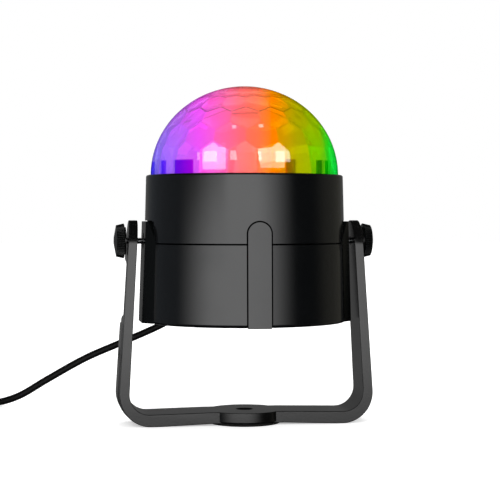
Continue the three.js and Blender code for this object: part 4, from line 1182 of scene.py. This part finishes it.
# Control board
# A glass-fibre board with the switch, the microphone, one chip and the lead's socket on it.
TRACE_ROW = 1.27
TRACE_LENGTH = 4.2
TRACE_WIDTH = 0.16
TRACE_RISE = 0.03
TRACE_DEPTH = 0.3

# Solder mask, cured over etched copper: deep glossy green, paler along each trace under it
lacquer, tree, shader, place = surface("solder_mask_cured")
traces = node(tree, "TexBrick", {"Vector": place, "Scale": 1 / MM, "Mortar": linear("#2b7a4b")})
feed(traces, {"Color1": linear("#0d4a2a"), "Color2": linear("#0f4f2e")})
feed(traces, {"Mortar Size": TRACE_WIDTH / 2, "Brick Width": TRACE_LENGTH, "Row Height": TRACE_ROW})
raised = node(tree, "Bump", {"Height": traces.outputs["Fac"], "Strength": TRACE_DEPTH})
feed(raised, {"Distance": TRACE_RISE * MM})
feed(shader, {"Base Color": traces, "Normal": raised, "Roughness": 0.28})
dress(lacquer, "control_board")
# Epoxy, moulded round the chip: charcoal and matt, with a sandy grain
epoxy = plastic("epoxy_moulded", "#1b1c1e", 0.55, 0.15, 0.2)
dress(epoxy, "driver_chip")
# Aluminium, drawn into a can: pale grey, with a soft sheen
drawn_aluminium = metal("aluminium_drawn", "#c3c5c8", 0.3, 0.7, 0.08)
dress(drawn_aluminium, "microphone")
dress(nickel_steel, "tact_switch")
dress(white_pbt, "power_socket")


# Motor
# A small round gear motor in a steel can, hung under the deck by two screws, with a steel shaft.
dress(nickel_steel, "gear_motor")
dress(zinc_steel, "motor_shaft")


# Gears and deck
# An acetal pinion drives the ring gear that the dome stands on. The deck is a moulded ABS plate,
# which carries the motor and the ring gear's track.

# Acetal, moulded: milky white for the pinion and black for the ring, slick and slightly waxy
white_acetal = plastic("acetal_white_moulded", "#dcdcd8", 0.34, 0.5, 0.03, tone=1.04)
black_acetal = plastic("acetal_black_moulded", "#141415", 0.3, 0.5, 0.03)
# ABS, moulded in a plain tool: black and matt, with a coarse grain
abs_matt = plastic("abs_matt_moulded", "#161617", 0.5, 0.8, 0.1)
dress(white_acetal, "pinion")
dress(black_acetal, "dome_ring_gear")
dress(abs_matt, "deck_plate")


# Light source
# Three coloured chips on a round white board, each under a cone lens, over a slotted heat sink.
CHIP_GLOW_LOW = 0.96
CHIP_GLOW_HIGH = 1.44
CHIP_PATCH = 1.5
LENS_RIPPLE = 4
LENS_GLOSS_LOW = 0.01
LENS_GLOSS_HIGH = 0.05


def lit_resin(name, colour):
    """A lit chip: clear resin that glows unevenly over its face."""
    made, tree, shader, place = surface(name)
    scale = 1 / (CHIP_PATCH * MM)
    patches = node(tree, "TexNoise", {"Vector": place, "Scale": scale, "Detail": 1.0})
    power = node(tree, "MapRange", {"Value": patches})
    feed(power, {"To Min": CHIP_GLOW_LOW, "To Max": CHIP_GLOW_HIGH})
    colours = {"Base Color": linear(colour), "Emission Color": linear(colour)}
    feed(shader, {**colours, "Roughness": 0.2, "Emission Strength": power})
    return made


# Aluminium, turned and slotted: pale grey, with a soft sheen and fine marks
turned_aluminium = metal("aluminium_turned", "#bfc1c4", 0.34, 0.5, 0.12)
# White solder mask, cured on an aluminium core: bright and even, with a thin gloss
white_mask = plastic("white_mask_cured", "#dededa", 0.3, 0.4, 0.04, tone=1.03)
# PMMA, moulded in a polished tool: as clear as glass, with barely a ripple
acrylic, tree, shader, place = surface("pmma_clear_moulded")
ripple = node(tree, "TexNoise", {"Vector": place, "Scale": 1 / (LENS_RIPPLE * MM)})
gloss = node(tree, "MapRange", {"Value": ripple})
feed(gloss, {"To Min": LENS_GLOSS_LOW, "To Max": LENS_GLOSS_HIGH})
feed(shader, {"Base Color": linear("#f6f8fa"), "Roughness": gloss})
feed(shader, {"IOR": 1.49, "Transmission Weight": 1.0})
dress(turned_aluminium, "heat_sink")
dress(white_mask, "led_board")
# Clear epoxy, cast over each chip: red, green and blue, lit from inside
for chip, colour in (("red", "#ff3a30"), ("green", "#22e050"), ("blue", "#4a50ff")):
    dress(lit_resin(f"epoxy_cast_{chip}", colour), f"{chip}_led")
    dress(acrylic, f"{chip}_lens")


# Light plate
# The moulded ABS plate round the light source. It closes the head under the dome.
dress(white_abs, "light_plate")


# Screws
# Pan-head screws, zinc plated, which hold the case, deck, light plate, motor and board.
for part, count in (("case", 4), ("deck", 4), ("plate", 3), ("motor", 2), ("board", 2)):
    for k in range(count):
        dress(zinc_steel, f"{part}_screw_{k + 1}")


# Dome
# One injection-moulded shell of clear polycarbonate, smooth outside and cut into flat facets
# inside. Its neck drops through the head's ledge and turns on the ring gear.
DOME_RADIUS = 37.6
DOME_RISE = 35.6
DOME_WALL = 2.2
DOME_THIN = 1.2
NECK_BOTTOM = 91.2
NECK_OUTER = 35.2
NECK_INNER = 33.6
NECK_OVERLAP = 1
DOME_SHOULDER = 95.2
DOME_SHOULDER_THICKNESS = 1.6
DOME_STEPS = 144
FACET_RISE = 6.4
FACET_PITCH = 8.45
FACET_ROWS = [(20, 8.5), (17, 19.1), (16, 14.8), (16, 4.2), (16, 15.2), (8, 3.6), (1, 0)]
DOME_ROWS = 40
RIDGE_ROUND = 0.3
RIDGE_ANGLE = 6
RIDGE_DARK_FROM = 22
RIDGE_AROUND = 0.7


def half_oval(wide, high):
    """Points from the rim to the top of half an ellipse."""
    line = []
    for k in range(DOME_ROWS):
        angle = math.pi / 2 * k / DOME_ROWS
        line.append((wide * math.cos(angle), RIM + high * math.sin(angle)))
    line.append((0, RIM + high))
    return line


body = lathe(
    [
        (0, NECK_BOTTOM),
        (NECK_OUTER, NECK_BOTTOM),
        (NECK_OUTER, DOME_SHOULDER),
        (DOME_RADIUS, DOME_SHOULDER),
        *half_oval(DOME_RADIUS, DOME_RISE),
    ],
    DOME_STEPS,
)
cavity_bottom = DOME_SHOULDER + DOME_SHOULDER_THICKNESS
thin = DOME_RADIUS - DOME_THIN
cavity = bmesh.new()
inside = [(0, cavity_bottom), (thin, cavity_bottom), *half_oval(thin, DOME_RISE - DOME_THIN)]
cavity.from_mesh(lathe(inside, DOME_STEPS))
wide, high = DOME_RADIUS - DOME_WALL, DOME_RISE - DOME_WALL
for row, (count, start) in enumerate(FACET_ROWS):
    rise = math.pi / 2 if count == 1 else 2 * (FACET_RISE + row * FACET_PITCH) / (wide + high)
    for k in range(count):
        turn = math.radians(start + 360 * k / count)
        across = wide * math.cos(rise)
        point = Vector((across * math.cos(turn), across * math.sin(turn), high * math.sin(rise)))
        normal = Vector((point.x / wide**2, point.y / wide**2, point.z / high**2)).normalized()
        cut = bmesh.ops.bisect_plane(
            cavity,
            geom=[*cavity.verts, *cavity.edges, *cavity.faces],
            plane_co=point + Vector((0, 0, RIM)),
            plane_no=normal,
            clear_outer=True,
        )
        rim_edges = [e for e in cut["geom_cut"] if isinstance(e, bmesh.types.BMEdge)]
        if rim_edges:
            bmesh.ops.contextual_create(cavity, geom=rim_edges)
bmesh.ops.recalc_face_normals(cavity, faces=cavity.faces)
cavity_mesh = bpy.data.meshes.new("cavity")
cavity.to_mesh(cavity_mesh)
cavity.free()
for mesh in (body, cavity_mesh):
    mark_faces(mesh, 0)
# Rounded ridges take number 1, the painted shade; those low down or not running round go back to 0
cavity_mesh = softened(
    cavity_mesh, RIDGE_ROUND, 2, sharp=RIDGE_ANGLE, use_clamp_overlap=False, material=1
)
for face in cavity_mesh.polygons:
    corners = [cavity_mesh.vertices[i].co for i in face.vertices]
    run = max((b - a for a, b in zip(corners, corners[1:] + corners[:1])), key=lambda e: e.length)
    around = Vector((-face.center.y, face.center.x, 0)).normalized()
    if face.center.z < RIM + RIDGE_DARK_FROM or abs(run.dot(around)) < RIDGE_AROUND * run.length:
        face.material_index = 0
neck_bore = rod(NECK_INNER, NECK_BOTTOM - PAST, cavity_bottom + NECK_OVERLAP, steps=DOME_STEPS)
dome = combined("DIFFERENCE", body, [cavity_mesh, neck_bore])

# Painted light: the colour that the light inside gives the clear dome, from left to right as the
# camera sees it: millimetres across, and colour
PAINTED_LIGHT_COLOURS = [
    (-37.6, "#9b9bff"),
    (-25, "#d088f5"),
    (-17.5, "#ef76f4"),
    (-9.5, "#fb87cc"),
    (-2, "#fb8e95"),
    (5, "#fc9573"),
    (10.5, "#faa201"),
    (19.5, "#c1ba01"),
    (29, "#a1ce01"),
    (33, "#34e731"),
    (37.6, "#01f473"),
]
TO_THE_RIGHT = (0.989, -0.146, 0)
# How strongly the dome's painted light glows
DOME_PAINTED_GLOW = 0.1
DOME_IOR = 1.585
DOME_CLEAR = 0.85
# Painted shade: dark patches low in the dome, where the facets would show the black ledge:
# millimetres across, and how much deeper the colour is from there on
PAINTED_LEDGE_SHADES = [
    (-37.6, 0.6),
    (-35.5, 0),
    (-32.6, 0.8),
    (-30.5, 0),
    (-26.8, 1),
    (-19.4, 0),
    (15.4, 0.5),
    (19.3, 0),
    (27.5, 0.9),
    (29.8, 0),
    (31, 0.9),
    (32.6, 0),
]
LEDGE_SHADE_TOP = 5.2
LEDGE_SHADE_SOFT = 0.2
LEDGE_SHADE_DEPTH = 2.5


def fill_ramp(ramp, colours):
    """Sets a colour ramp over the dome's width, from places in millimetres and colours."""
    stops = ramp.color_ramp.elements
    while len(stops) < len(colours):
        stops.new(0.5)
    for stop, (x, colour) in zip(stops, colours):
        stop.position = (x + DOME_RADIUS) / (2 * DOME_RADIUS)
        stop.color = colour


def clear_polycarbonate(name, light, roughness):
    """Clear plastic, its colour and faint glow painted light from inside, of which a share is left.
    """
    made, tree, shader, place = surface(name, object=frame["bodies"]["head"])
    across = node(tree, "VectorMath", {0: place, 1: TO_THE_RIGHT}, operation="DOT_PRODUCT")
    share = node(tree, "MapRange", {"Value": across.outputs["Value"]})
    feed(share, {"From Min": -DOME_RADIUS * MM, "From Max": DOME_RADIUS * MM})
    # Painted light: the inside's colours across the dome, used as its colour and its glow
    colours = node(tree, "ValToRGB", {"Fac": share})
    fill_ramp(colours, [(x, [c * light for c in linear(colour)]) for x, colour in PAINTED_LIGHT_COLOURS])
    # Painted shade: near the rim, the colour deepens where the ledge would show
    painted_shades = node(tree, "ValToRGB", {"Fac": share})
    fill_ramp(painted_shades, [(x, (deep, deep, deep, 1)) for x, deep in PAINTED_LEDGE_SHADES])
    painted_shades.color_ramp.interpolation = "CONSTANT"
    height = node(tree, "SeparateXYZ", {0: place}).outputs["Z"]
    top = RIM + LEDGE_SHADE_TOP
    low = node(tree, "MapRange", {"Value": height, "From Min": (top + LEDGE_SHADE_SOFT) * MM})
    feed(low, {"From Max": (top - LEDGE_SHADE_SOFT) * MM})
    deeper = node(tree, "Math", {0: low, 1: painted_shades.outputs["Color"]}, operation="MULTIPLY")
    power = node(tree, "Math", {0: deeper, 1: LEDGE_SHADE_DEPTH, 2: 1.0}, operation="MULTIPLY_ADD")
    shaded = node(tree, "Gamma", {"Color": colours.outputs["Color"], "Gamma": power})
    feed(shader, {"Base Color": shaded, "Emission Color": shaded, "Emission Strength": DOME_PAINTED_GLOW})
    feed(shader, {"IOR": DOME_IOR, "Transmission Weight": DOME_CLEAR, "Roughness": roughness})
    return made


# Clear polycarbonate, moulded in a polished tool: like glass. The coloured light inside is painted
# on as its colour and a faint glow, from blue at the left through magenta, red and orange to green
# at the right
clear = clear_polycarbonate("polycarbonate_clear_moulded", light=1, roughness=0.03)
# The same along the upper ridges between facets, which the eye meets edge on: painted shade, thin
# dark lines with a twentieth of the light
ridge = clear_polycarbonate("polycarbonate_ridge_painted_shade", light=0.05, roughness=0.05)
dome_marks = marks(dome)
dome = add_piece("clear_dome", dome, "dome_rotor", clear, ("dome",), sharp=3)
second_finish(dome, dome_marks, ridge)
on_dome.objects.link(dome)
off_dome.objects.link(dome)
off_dome.collection_objects[0].light_linking.link_state = "EXCLUDE"
